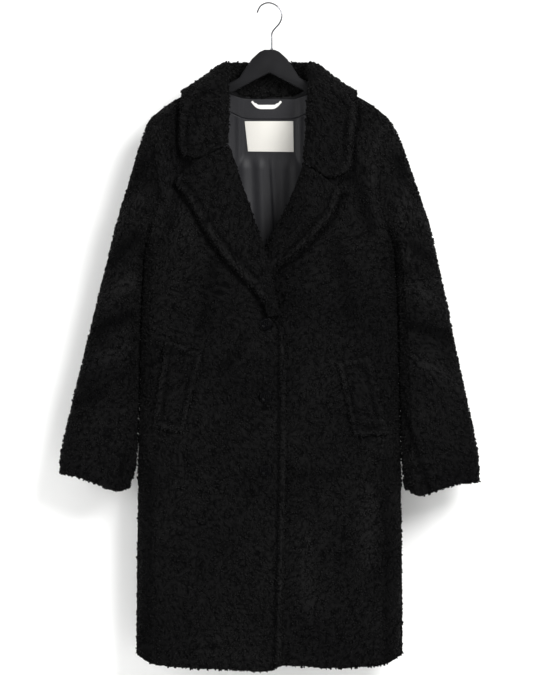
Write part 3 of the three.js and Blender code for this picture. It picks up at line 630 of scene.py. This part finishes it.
def fur_wall(node, fold_name, away, tree):
    """The wall under the pile, sunk so that the curls reach the frame's own surface"""
    settings = bpy.context.scene.coat_fur
    piece = copy_of(node, f"fur_{node}")
    mark_backing(piece, away)
    round_off(piece, ROUND_LEVELS)
    refine(piece, settings.wall_step)
    mesh = piece.data
    mark_seams(mesh, tree)
    points = points_of(mesh)
    outside = side_normals(mesh, FUR)
    inside = side_normals(mesh, BACKING)
    clusters = crackle(points)
    broad = settings.sway * swell(points, SWAY_SIZE, SWAY_SEED) - settings.sink
    folded = fold_rise(fold_name, points)
    rise = broad + folded * np.abs(outside[:, 1]) + settings.cluster_rise * (clusters - 1)
    rise = np.clip(rise, -DEEPEST, DEEPEST)
    moved = points + outside * rise[:, None]
    if "sleeve" in node:
        moved -= inside * (broad + folded * np.abs(inside[:, 1]))[:, None]
        moved += side_normals(mesh, SEAM) * settings.swell_shut
    move_points(mesh, moved)
    # Painted shade: the wall between the curls is dark, darker still in the cracks, with painted light on
    # the folds' crests and painted shade in their troughs
    write_attribute(mesh, "curl", WALL_PAINTED_SHADE * clusters * lit(folded))
    for finish in (fur_finish(), backing_finish(), fur_finish()):
        mesh.materials.append(finish)
    shade_smooth(mesh)
    place(piece, "fur", node)
    return piece


# A curl: a lock with three sides, whose root is sunk, and whose middle and bent tip lean. Where two
# numbers stand, each curl has its own between them.
SIDES = 3
ROOT_DEPTH = 0.0008
OFF_CENTRE = 0.55
THINNED = (0.1, 0.55)
BEND = (1.0, 2.4)
HEIGHTS = (0.75, 1.15)
GIRTHS = (0.8, 1.2)
CURL_TONES = (0.4, 1.0)
MIDDLE = {"up": 0.55, "lean": 0.45, "girth": 1.05}
TIP = {"up": 0.85, "lean": 0.3, "bend": 0.6}
# Painted shade up each curl: its root ring darkest, its middle ring lighter, its tip at full tone
PAINTED_SHADE_UP_A_CURL = (0.1, 0.1, 0.1, 0.62, 0.62, 0.62, 1.0)


def standing_places(mesh, numbers, tree, covers, covering):
    """Where curls may stand: centres, normals, a way along the surface, and which are in a seam"""
    settings = bpy.context.scene.coat_fur
    places = []
    for face in mesh.polygons:
        if face.material_index == BACKING or (covering and face.material_index == SEAM):
            continue
        if numbers.random() > face.area / settings.area_a_curl:
            continue
        ahead = face.center + face.normal * JUST_ABOVE
        if tree.ray_cast(ahead, face.normal, settings.room)[0] is not None:
            continue
        if covers.ray_cast(ahead, face.normal, SEAM_REACH)[0] is not None:
            continue
        corner = mesh.vertices[face.vertices[0]].co
        in_seam = face.material_index == SEAM
        places.append((tuple(face.center), tuple(face.normal), tuple(corner), in_seam))
    if len(places) > settings.most_curls:
        kept = np.sort(numbers.choice(len(places), settings.most_curls, replace=False))
        places = [places[i] for i in kept]
    centre, normal, corner, in_seam = (np.array(part) for part in zip(*places))
    return centre, normal, corner - centre, in_seam


def lock_points(centre, normal, side, other, clusters, numbers):
    """Seven points of each curl: three round its root, three round its middle, and its tip"""
    settings = bpy.context.scene.coat_fur
    count = len(centre)

    def lean(turn):
        way = side * np.cos(turn)[:, None] + other * np.sin(turn)[:, None]
        way[:, 2] -= settings.fall
        return way / np.linalg.norm(way, axis=1)[:, None]

    turn = numbers.uniform(0, 2 * math.pi, count)
    curl_turn = turn + numbers.choice([-1.0, 1.0], count) * numbers.uniform(*BEND, count)
    first, second = lean(turn), lean(curl_turn)
    height = settings.pile_height * numbers.uniform(*HEIGHTS, count) * (0.5 + 0.5 * clusters)
    radius = settings.curl_radius * numbers.uniform(*GIRTHS, count)
    height = height[:, None]
    root = centre - normal * ROOT_DEPTH
    middle = centre + normal * (MIDDLE["up"] * height) + first * (MIDDLE["lean"] * height)
    tip = centre + normal * (TIP["up"] * height) + (first * TIP["lean"] + second * TIP["bend"]) * height
    rings = []
    for where, girth in ((root, 1.0), (middle, MIDDLE["girth"])):
        for k in range(SIDES):
            angle = turn + 2 * math.pi * k / SIDES
            way = side * np.cos(angle)[:, None] + other * np.sin(angle)[:, None]
            rings.append(where + way * (radius * girth)[:, None])
    return np.stack([*rings, tip], axis=1)


def lock_faces(points, root):
    """Nine triangles for each curl, facing outwards"""
    lock = []
    for k in range(SIDES):
        n = (k + 1) % SIDES
        lock += [(k, n, SIDES + n), (k, SIDES + n, SIDES + k), (SIDES + k, SIDES + n, 2 * SIDES)]
    across = points[:, 1] - points[:, 0]
    upwards = points[:, SIDES] - points[:, 0]
    facing = np.einsum("ij,ij->i", np.cross(across, upwards), points[:, 0] - root)
    triangles = np.array(lock)[None] + points.shape[1] * np.arange(len(points))[:, None, None]
    inward = facing < 0
    triangles[inward] = triangles[inward][:, :, ::-1]
    return triangles.reshape(-1, 3)


def pile(wall, name, fold_name, tree, covers, covering):
    """Curls over a wall, one to a face, and fewer in its cracks than on its clusters"""
    numbers = np.random.default_rng(sum(map(ord, name)))
    centre, normal, spread, in_seam = standing_places(wall.data, numbers, tree, covers, covering)
    side = np.cross(normal, spread)
    side /= np.linalg.norm(side, axis=1)[:, None] + TINY
    other = np.cross(normal, side)
    reach = np.linalg.norm(spread, axis=1)[:, None]
    jitter = numbers.uniform(-OFF_CENTRE, OFF_CENTRE, (len(centre), 2)) * reach
    centre = centre + side * jitter[:, :1] + other * jitter[:, 1:]
    clusters = crackle(centre)
    stands = (clusters > numbers.uniform(*THINNED, len(centre))) | in_seam
    centre, normal, clusters = centre[stands], normal[stands], clusters[stands]
    side, other = side[stands], other[stands]
    points = lock_points(centre, normal, side, other, clusters, numbers)
    triangles = lock_faces(points, centre - normal * ROOT_DEPTH)
    piece = mesh_piece(name, points.reshape(-1, 3), triangles)
    # Each curl's tone differs at random. Painted shade darkens the curls in the cracks, and painted light
    # and shade follow the folds' crests and troughs
    tone = numbers.uniform(*CURL_TONES, len(centre)) * (0.4 + 0.6 * clusters)
    tone = tone * lit(fold_rise(fold_name, centre))
    write_attribute(piece.data, "curl", (np.array(PAINTED_SHADE_UP_A_CURL)[None] * tone[:, None]).ravel())
    piece.data.materials.append(fur_finish())
    place(piece, "fur")
    return piece


# Each fur piece: its fold table, which way its outside faces, and its cut and area in metres

FUR_PIECES = {
    "front_right": ("front_right", from_body, (0.31, 1.04), 0.255),
    "front_left": ("front_left", from_body, (0.31, 1.04), 0.26),
    "back": ("back", from_body, (0.54, 1.03), 0.505),
    "sleeve_top_right": ("sleeve_right", from_sleeve, (0.26, 0.68), 0.134),
    "sleeve_under_right": ("sleeve_right", from_sleeve, (0.10, 0.51), 0.039),
    "sleeve_top_left": ("sleeve_left", from_sleeve, (0.27, 0.68), 0.142),
    "sleeve_under_left": ("sleeve_left", from_sleeve, (0.10, 0.52), 0.039),
    "collar": ("collar", None, (0.62, 0.18), 0.10),
    "lapel_right": ("lapel_right", None, (0.14, 0.34), 0.04),
    "lapel_left": ("lapel_left", None, (0.13, 0.30), 0.03),
    "pocket_welt_right": ("pocket_welt_right", None, (0.08, 0.18), 0.0115),
    "pocket_welt_left": ("pocket_welt_left", None, (0.08, 0.17), 0.0105),
}

# Pieces that lie on others and cover their pile
COVERS = ("collar", "lapel_right", "lapel_left", "pocket_welt_right", "pocket_welt_left")


def add_fur(*nodes):
    for node in nodes:
        fold_name, away, flat, area = FUR_PIECES[node]
        tree = tree_of(other for other in FUR_PIECES if other != node)
        covers = tree_of(other for other in COVERS if other != node)
        wall = fur_wall(node, fold_name, away, tree)
        curls = pile(wall, f"pile_{node}", fold_name, tree, covers, node in COVERS)


# Lining, label and loop

# The satin lies flat behind the label, and its folds grow over a short way beside and below it
LABEL_SIDE = 0.046
LABEL_FOOT = -0.266
BESIDE_LABEL = 0.012
BELOW_LABEL = 0.03

# What shows in the neck, and how fine it is there
SATIN_SEEN = {"x": 0.09, "z": -0.42, "step": 0.0022}

# Upright folds of the satin, the first two of them the centre seam: x at the top and at the bottom,
# width and how far each stands out
SATIN_TOP = {"satin_back": -0.206, "satin_yoke": -0.10}
SATIN_BOTTOM = -0.62
SATIN_FOLDS = (
    (-0.0043, 0.017, 0.0014, -0.0017),
    (-0.0008, 0.021, 0.0024, 0.0020),
    (-0.022, -0.006, 0.0080, 0.0034),
    (-0.050, -0.036, 0.0100, 0.0040),
    (0.026, 0.020, 0.0085, 0.0032),
    (0.050, 0.038, 0.0100, 0.0036),
    (-0.078, -0.070, 0.0130, 0.0050),
    (0.078, 0.070, 0.0130, 0.0050),
)


def seen_in_the_neck(face):
    centre = face.calc_center_median()
    return centre.z > SATIN_SEEN["z"] and abs(centre.x) < SATIN_SEEN["x"]


def satin_piece(node, name):
    """The lining where it shows, with its seam and soft folds"""
    piece = copy_of(node, name)
    form = bmesh.new()
    form.from_mesh(piece.data)
    keep_edges(form)
    form.to_mesh(piece.data)
    form.free()
    round_off(piece, ROUND_LEVELS)
    refine(piece, SATIN_SEEN["step"], seen_in_the_neck)
    mesh = piece.data
    points = points_of(mesh)
    top = SATIN_TOP[name]
    share = np.clip((top - points[:, 2]) / (top - SATIN_BOTTOM), 0, 1)
    stand = np.zeros(len(points))
    for top_x, bottom_x, width, rise in SATIN_FOLDS:
        middle = top_x + (bottom_x - top_x) * share
        stand += rise * np.exp(-(((points[:, 0] - middle) / (width * (1 + share))) ** 2))
    beside = ease((np.abs(points[:, 0]) - LABEL_SIDE) / BESIDE_LABEL)
    below = ease((LABEL_FOOT - points[:, 2]) / BELOW_LABEL)
    stand *= np.maximum(beside, below)
    points[:, 1] -= stand
    move_points(mesh, points)
    mesh.materials.append(satin_finish())
    shade_smooth(mesh)
    place(piece, "satin", node)
    return piece


# The lower run of the loop, whose tape hangs almost flat: its middle and half length, the height that
# parts its two edges, and how far each of them rises
LOOP_RUN = {"middle": -0.0055, "half": 0.019, "inner_edge": -0.187}
LOOP_RISE = {"inner": 0.0075, "reach": 0.026, "outer": 0.002}
TAPE_EDGE = 0.0003


def broaden_loop(mesh):
    """Gives the loop's lower run its whole breadth"""
    points = points_of(mesh)
    across = points[:, 0] - LOOP_RUN["middle"]
    run = np.abs(across) < LOOP_RUN["half"]
    inner = run & (points[:, 2] > LOOP_RUN["inner_edge"])
    points[inner, 2] += LOOP_RISE["inner"] * (1 - (across[inner] / LOOP_RISE["reach"]) ** 2)
    points[run & ~inner, 2] += LOOP_RISE["outer"]
    move_points(mesh, points)


def soft_copy(node, name, slot, finish, reshape=None):
    """A small cloth piece on its frame form, with its edges rounded"""
    piece = copy_of(node, name)
    if reshape:
        reshape(piece.data)
    bevel = piece.modifiers.new("edges", "BEVEL")
    bevel.width = TAPE_EDGE
    bevel.segments = 2
    bevel.limit_method = "ANGLE"
    round_off(piece, 1)
    piece.data.materials.append(finish)
    shade_smooth(piece.data)
    place(piece, slot, node)
    return piece


# Sizes and colours that a user may change

class CoatFur(bpy.types.PropertyGroup):
    """Sizes and colours of the fur"""
    wall_step: bpy.props.FloatProperty(
        name="Wall step", description="Distance between points of the wall", default=0.004, unit="LENGTH"
    )
    pile_height: bpy.props.FloatProperty(
        name="Pile height", description="Height of a curl", default=0.0037, unit="LENGTH"
    )
    curl_radius: bpy.props.FloatProperty(
        name="Curl radius", description="Half the thickness of a curl", default=0.0019, unit="LENGTH"
    )
    area_a_curl: bpy.props.FloatProperty(
        name="Area a curl", description="Surface that one curl covers, in square metres",
        default=2.2e-5, precision=7
    )
    most_curls: bpy.props.IntProperty(
        name="Most curls", description="Most curls on one piece", default=21500
    )
    fall: bpy.props.FloatProperty(
        name="Fall", description="How much the pile lies downwards", default=0.35, subtype="FACTOR"
    )
    room: bpy.props.FloatProperty(
        name="Room", description="Clear space that a curl needs in front of it",
        default=0.0012, unit="LENGTH"
    )
    sink: bpy.props.FloatProperty(
        name="Sink", description="How far the wall lies under the tips of the pile",
        default=0.0024, unit="LENGTH"
    )
    swell_shut: bpy.props.FloatProperty(
        name="Swell", description="How far a sleeve's fur swells where it lies against the body",
        default=0.0012, unit="LENGTH"
    )
    sway: bpy.props.FloatProperty(
        name="Sway", description="Broad unevenness of the fur", default=0.0009, unit="LENGTH"
    )
    cluster_rise: bpy.props.FloatProperty(
        name="Cluster rise", description="Depth of the cracks between clusters",
        default=0.0018, unit="LENGTH"
    )
    # Painted shade: the near-black of the roots and cracks, where the pile lies in its own shadow
    painted_root_shade: bpy.props.FloatVectorProperty(
        name="Root colour", description="Colour between the curls",
        subtype="COLOR", default=(0.0004, 0.0004, 0.0005)
    )
    curl_colour: bpy.props.FloatVectorProperty(
        name="Curl colour", description="Colour of the curls' tips",
        subtype="COLOR", default=(0.0100, 0.0099, 0.0101)
    )


class CoatTrim(bpy.types.PropertyGroup):
    """Colours of lining, label, tape, buttons and hanger"""
    satin_colour: bpy.props.FloatVectorProperty(
        name="Satin", description="Colour of the lining", subtype="COLOR", default=(0.021, 0.021, 0.0235)
    )
    label_colour: bpy.props.FloatVectorProperty(
        name="Label", description="Colour of the label", subtype="COLOR", default=(0.76, 0.74, 0.69)
    )
    tape_colour: bpy.props.FloatVectorProperty(
        name="Tape", description="Colour of the hanging loop", subtype="COLOR", default=(0.8, 0.79, 0.76)
    )
    hanger_colour: bpy.props.FloatVectorProperty(
        name="Hanger", description="Colour of the hanger",
        subtype="COLOR", default=(0.0052, 0.0052, 0.006)
    )
    button_colour: bpy.props.FloatVectorProperty(
        name="Buttons", description="Colour of the buttons",
        subtype="COLOR", default=(0.0012, 0.0012, 0.0015)
    )


class CoatStage(bpy.types.PropertyGroup):
    """Camera, light and backdrop"""
    distance: bpy.props.FloatProperty(
        name="Distance", description="From the camera to the coat", default=8.0, unit="LENGTH"
    )
    wall_gap: bpy.props.FloatProperty(
        name="Wall", description="How far the wall lies behind the hanger", default=0.1, unit="LENGTH"
    )
    floor_drop: bpy.props.FloatProperty(
        name="Floor", description="How far the floor lies below the hook", default=1.7, unit="LENGTH"
    )
    key_power: bpy.props.FloatProperty(
        name="Key light", description="Power of the main light", default=150.0, unit="POWER"
    )
    fill_power: bpy.props.FloatProperty(
        name="Fill light", description="Power of the soft light opposite", default=60.0, unit="POWER"
    )
    world_strength: bpy.props.FloatProperty(
        name="Room light", description="Strength of the light from all round", default=0.55
    )


# Operators, one for each group of pieces

class COAT_OT_body(bpy.types.Operator):
    """Makes the fur of the fronts and the back"""
    bl_idname = "coat.body"
    bl_label = "Fronts and back"

    def execute(self, context):
        add_fur("front_right", "front_left", "back")
        return {"FINISHED"}


class COAT_OT_sleeves(bpy.types.Operator):
    """Makes the fur of both sleeves"""
    bl_idname = "coat.sleeves"
    bl_label = "Sleeves"

    def execute(self, context):
        add_fur("sleeve_top_right", "sleeve_under_right", "sleeve_top_left", "sleeve_under_left")
        return {"FINISHED"}


class COAT_OT_collar(bpy.types.Operator):
    """Makes the fur of the collar and the lapels"""
    bl_idname = "coat.collar"
    bl_label = "Collar and lapels"

    def execute(self, context):
        add_fur("collar", "lapel_right", "lapel_left")
        return {"FINISHED"}


class COAT_OT_welts(bpy.types.Operator):
    """Makes the fur of the pocket welts"""
    bl_idname = "coat.welts"
    bl_label = "Pocket welts"

    def execute(self, context):
        add_fur("pocket_welt_right", "pocket_welt_left")
        return {"FINISHED"}


class COAT_OT_lining(bpy.types.Operator):
    """Makes the satin lining where it shows, and the hanging loop sewn to it"""
    bl_idname = "coat.lining"
    bl_label = "Lining and loop"

    def execute(self, context):
        back = satin_piece("lining_back", "satin_back")
        yoke = satin_piece("lining_yoke", "satin_yoke")
        tape = woven_finish("loop_tape", tuple(context.scene.coat_trim.tape_colour), 1400.0, 0.85)
        loop = soft_copy("hanging_loop", "loop_tape", "tape", tape, broaden_loop)
        return {"FINISHED"}


class COAT_OT_label(bpy.types.Operator):
    """Makes the bare neck label"""
    bl_idname = "coat.label"
    bl_label = "Neck label"

    def execute(self, context):
        trim = context.scene.coat_trim
        cloth = woven_finish("label_cloth", tuple(trim.label_colour), 900.0, 0.9)
        label = soft_copy("neck_label", "label_cloth", "label", cloth)
        return {"FINISHED"}


class COAT_OT_buttons(bpy.types.Operator):
    """Makes the three dark buttons"""
    bl_idname = "coat.buttons"
    bl_label = "Buttons"

    def execute(self, context):
        colour = tuple(context.scene.coat_trim.button_colour)
        finish = moulded_finish("polished_button", colour, 0.1, 0.035, 0.01)
        for name in ("upper", "middle", "lower"):
            add_button(f"button_{name}", finish)
        return {"FINISHED"}


# A button: its rim, the slope into its face, its holes and how far out they lie, as shares of its
# radius, and how deep its face is dished and how round its edges are
RIM = 0.26
SLOPE = 0.1
HOLE = 0.1
HOLES_OUT = 0.24
DISH = 0.0012
BUTTON_EDGE = 0.0005
HOLES = 4
TO_THE_FRONT = (math.radians(90), 0, 0)
SMOOTH_BELOW = math.radians(35)
BEVEL_ABOVE = math.radians(40)


def add_button(node, finish):
    """A rimmed button with a dished face and four holes"""
    low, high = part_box(node)
    centre = (low + high) / 2
    thick = high.y - low.y
    radius = (high.x - low.x) / 2
    deselect()
    bpy.ops.mesh.primitive_cylinder_add(vertices=48, radius=radius, depth=thick, location=centre,
                                        rotation=TO_THE_FRONT)
    piece = bpy.context.active_object
    piece.name = f"polished_{node}"
    set_down(piece)
    bpy.ops.object.mode_set(mode="EDIT")
    bpy.ops.mesh.select_all(action="DESELECT")
    form = bmesh.from_edit_mesh(piece.data)
    front = next(face for face in form.faces if face.normal.y < -0.9)
    front.select_set(True)
    bmesh.update_edit_mesh(piece.data)
    bpy.ops.mesh.inset(thickness=radius * RIM, depth=0)
    bpy.ops.mesh.inset(thickness=radius * SLOPE, depth=-DISH)
    bpy.ops.object.mode_set(mode="OBJECT")
    for k in range(HOLES):
        angle = math.radians(45 + 90 * k)
        away = radius * HOLES_OUT
        where = (centre.x + away * math.cos(angle), centre.y, centre.z + away * math.sin(angle))
        deselect()
        bpy.ops.mesh.primitive_cylinder_add(vertices=12, radius=radius * HOLE, depth=thick * 3,
                                            location=where, rotation=TO_THE_FRONT)
        drill = bpy.context.active_object
        cut = piece.modifiers.new("hole", "BOOLEAN")
        cut.object = drill
        cut.solver = "EXACT"
        apply_all(piece)
        bpy.data.objects.remove(drill)
    bevel = piece.modifiers.new("edges", "BEVEL")
    bevel.width = BUTTON_EDGE
    bevel.segments = 2
    bevel.limit_method = "ANGLE"
    bevel.angle_limit = BEVEL_ABOVE
    apply_all(piece)
    pick(piece)
    bpy.ops.object.shade_smooth_by_angle(angle=SMOOTH_BELOW)
    piece.data.materials.append(finish)
    place(piece, "button", node)
    return piece


# The ball at the hook's end: its radius, how far it sits back from the tip, and the slant that tells
# the tip from the rest of the bend
BALL_RADIUS = 0.0026
BALL_BACK = 0.0012
TIP_SLANT = 0.4


class COAT_OT_hanger(bpy.types.Operator):
    """Makes the plastic hanger and its wire hook"""
    bl_idname = "coat.hanger"
    bl_label = "Hanger and hook"

    def execute(self, context):
        colour = tuple(context.scene.coat_trim.hanger_colour)
        hanger = copy_of("hanger", "moulded_hanger")
        hanger.data.materials.append(moulded_finish("hanger_plastic", colour, 0.6, 0.1, 0.25))
        pick(hanger)
        bpy.ops.object.shade_smooth_by_angle(angle=SMOOTH_BELOW)
        place(hanger, "plastic", "hanger")
        hook = copy_of("hook", "wire_hook")
        round_off(hook, ROUND_LEVELS)
        tip = min(hook.data.vertices, key=lambda vertex: vertex.co.x + TIP_SLANT * vertex.co.z).co.copy()
        deselect()
        bpy.ops.mesh.primitive_uv_sphere_add(segments=20, ring_count=12, radius=BALL_RADIUS,
                                             location=(tip.x + BALL_BACK, 0, tip.z))
        ball = bpy.context.active_object
        pick(hook)
        ball.select_set(True)
        bpy.ops.object.join()
        set_down(hook)
        hook.data.materials.append(wire_finish())
        shade_smooth(hook.data)
        place(hook, "wire", "hook")
        return {"FINISHED"}


# The stage: the size of wall and floor, the height of the wall's middle, how far forward the floor's
# middle lies, each light's place and breadth, and what they are aimed at
STAGE_SIZE = 8
WALL_MIDDLE = -0.6
FLOOR_FORWARD = 3.9
KEY_LIGHT = {"place_at": (1.5, -3.2, 0.9), "size": 1.6}
FILL_LIGHT = {"place_at": (-2.2, -3.4, -0.4), "size": 2.4}
LIT_MIDDLE = (0, 0, -0.55)
SENSOR = 36
FAR_CLIP = 100


class COAT_OT_stage(bpy.types.Operator):
    """Makes the camera, the lights, the wall and the floor"""
    bl_idname = "coat.stage"
    bl_label = "Stage"

    def execute(self, context):
        settings = context.scene.coat_stage
        deselect()
        bpy.ops.mesh.primitive_plane_add(size=STAGE_SIZE, location=(0, settings.wall_gap, WALL_MIDDLE),
                                         rotation=TO_THE_FRONT)
        wall = context.active_object
        wall.name = "wall"
        floor_at = (0, settings.wall_gap - FLOOR_FORWARD, -settings.floor_drop)
        bpy.ops.mesh.primitive_plane_add(size=STAGE_SIZE, location=floor_at)
        floor = context.active_object
        floor.name = "floor"
        for piece, one_sided in ((wall, True), (floor, False)):
            set_down(piece)
            piece.data.materials.append(stage_finish(one_sided))
        add_camera(settings.distance)
        add_light("key", power=settings.key_power, **KEY_LIGHT)
        add_light("fill", power=settings.fill_power, **FILL_LIGHT)
        world = bpy.data.worlds.new("studio")
        world.use_nodes = True
        world.node_tree.nodes["Background"].inputs["Color"].default_value = (1, 1, 1, 1)
        world.node_tree.nodes["Background"].inputs["Strength"].default_value = settings.world_strength
        context.scene.world = world
        context.scene.view_settings.view_transform = "Standard"
        return {"FINISHED"}


def stage_finish(one_sided):
    """Matt white paint. The wall is clear from behind, so that the back can be seen too."""
    material, nodes, shader = finish_of("matt_wall" if one_sided else "matt_floor")
    shader.inputs["Base Color"].default_value = (0.86, 0.86, 0.855, 1)
    shader.inputs["Roughness"].default_value = 0.9
    if one_sided:
        side = nodes.new("ShaderNodeNewGeometry")
        clear = nodes.new("ShaderNodeBsdfTransparent")
        mixed = nodes.new("ShaderNodeMixShader")
        link(material, side.outputs["Backfacing"], mixed.inputs["Fac"])
        link(material, shader.outputs["BSDF"], mixed.inputs[1])
        link(material, clear.outputs["BSDF"], mixed.inputs[2])
        link(material, mixed.outputs["Shader"], nodes["Material Output"].inputs["Surface"])
    return material


def add_camera(distance):
    """Straight at the coat's front, framed as the photograph"""
    x = (PHOTO_WIDTH / 2 - HOOK_PIXEL[0]) * METRES_A_PIXEL
    z = (HOOK_PIXEL[1] - PHOTO_HEIGHT / 2) * METRES_A_PIXEL
    deselect()
    bpy.ops.object.camera_add(location=(x, -distance, z), rotation=TO_THE_FRONT)
    camera = bpy.context.active_object
    camera.name = "camera"
    camera.data.sensor_width = SENSOR
    camera.data.lens = SENSOR * distance / (PHOTO_HEIGHT * METRES_A_PIXEL)
    camera.data.clip_end = FAR_CLIP
    bpy.context.scene.camera = camera


def add_light(name, place_at, size, power):
    deselect()
    aim = Vector(LIT_MIDDLE) - Vector(place_at)
    turn = aim.to_track_quat("-Z", "Y").to_euler()
    bpy.ops.object.light_add(type="AREA", location=place_at, rotation=turn)
    light = bpy.context.active_object
    light.name = name
    light.data.energy = power
    light.data.shape = "DISK"
    light.data.size = size


class COAT_PT_panel(bpy.types.Panel):
    """Lists the coat's pieces in the sidebar"""
    bl_label = "Faux fur coat"
    bl_space_type = "VIEW_3D"
    bl_region_type = "UI"
    bl_category = "Coat"

    def draw(self, context):
        for name in STEPS:
            self.layout.operator(f"coat.{name}")
        for group in (context.scene.coat_fur, context.scene.coat_trim, context.scene.coat_stage):
            box = self.layout.box()
            for key in group.bl_rna.properties.keys():
                if key not in ("rna_type", "name"):
                    box.prop(group, key)


STEPS = ("stage", "body", "sleeves", "collar", "welts", "lining", "label", "buttons", "hanger")
GROUPS = {"coat_fur": CoatFur, "coat_trim": CoatTrim, "coat_stage": CoatStage}
CLASSES = (
    *GROUPS.values(), COAT_OT_stage, COAT_OT_body, COAT_OT_sleeves, COAT_OT_collar, COAT_OT_welts,
    COAT_OT_lining, COAT_OT_label, COAT_OT_buttons, COAT_OT_hanger, COAT_PT_panel,
)


def register():
    for made in CLASSES:
        bpy.utils.register_class(made)
    for name, group in GROUPS.items():
        setattr(bpy.types.Scene, name, bpy.props.PointerProperty(type=group))


def unregister():
    for name in GROUPS:
        delattr(bpy.types.Scene, name)
    for made in reversed(CLASSES):
        bpy.utils.unregister_class(made)


def main():
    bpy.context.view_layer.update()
    register()
    for name in STEPS:
        getattr(bpy.ops.coat, name)()


if __name__ == "__main__":
    main()
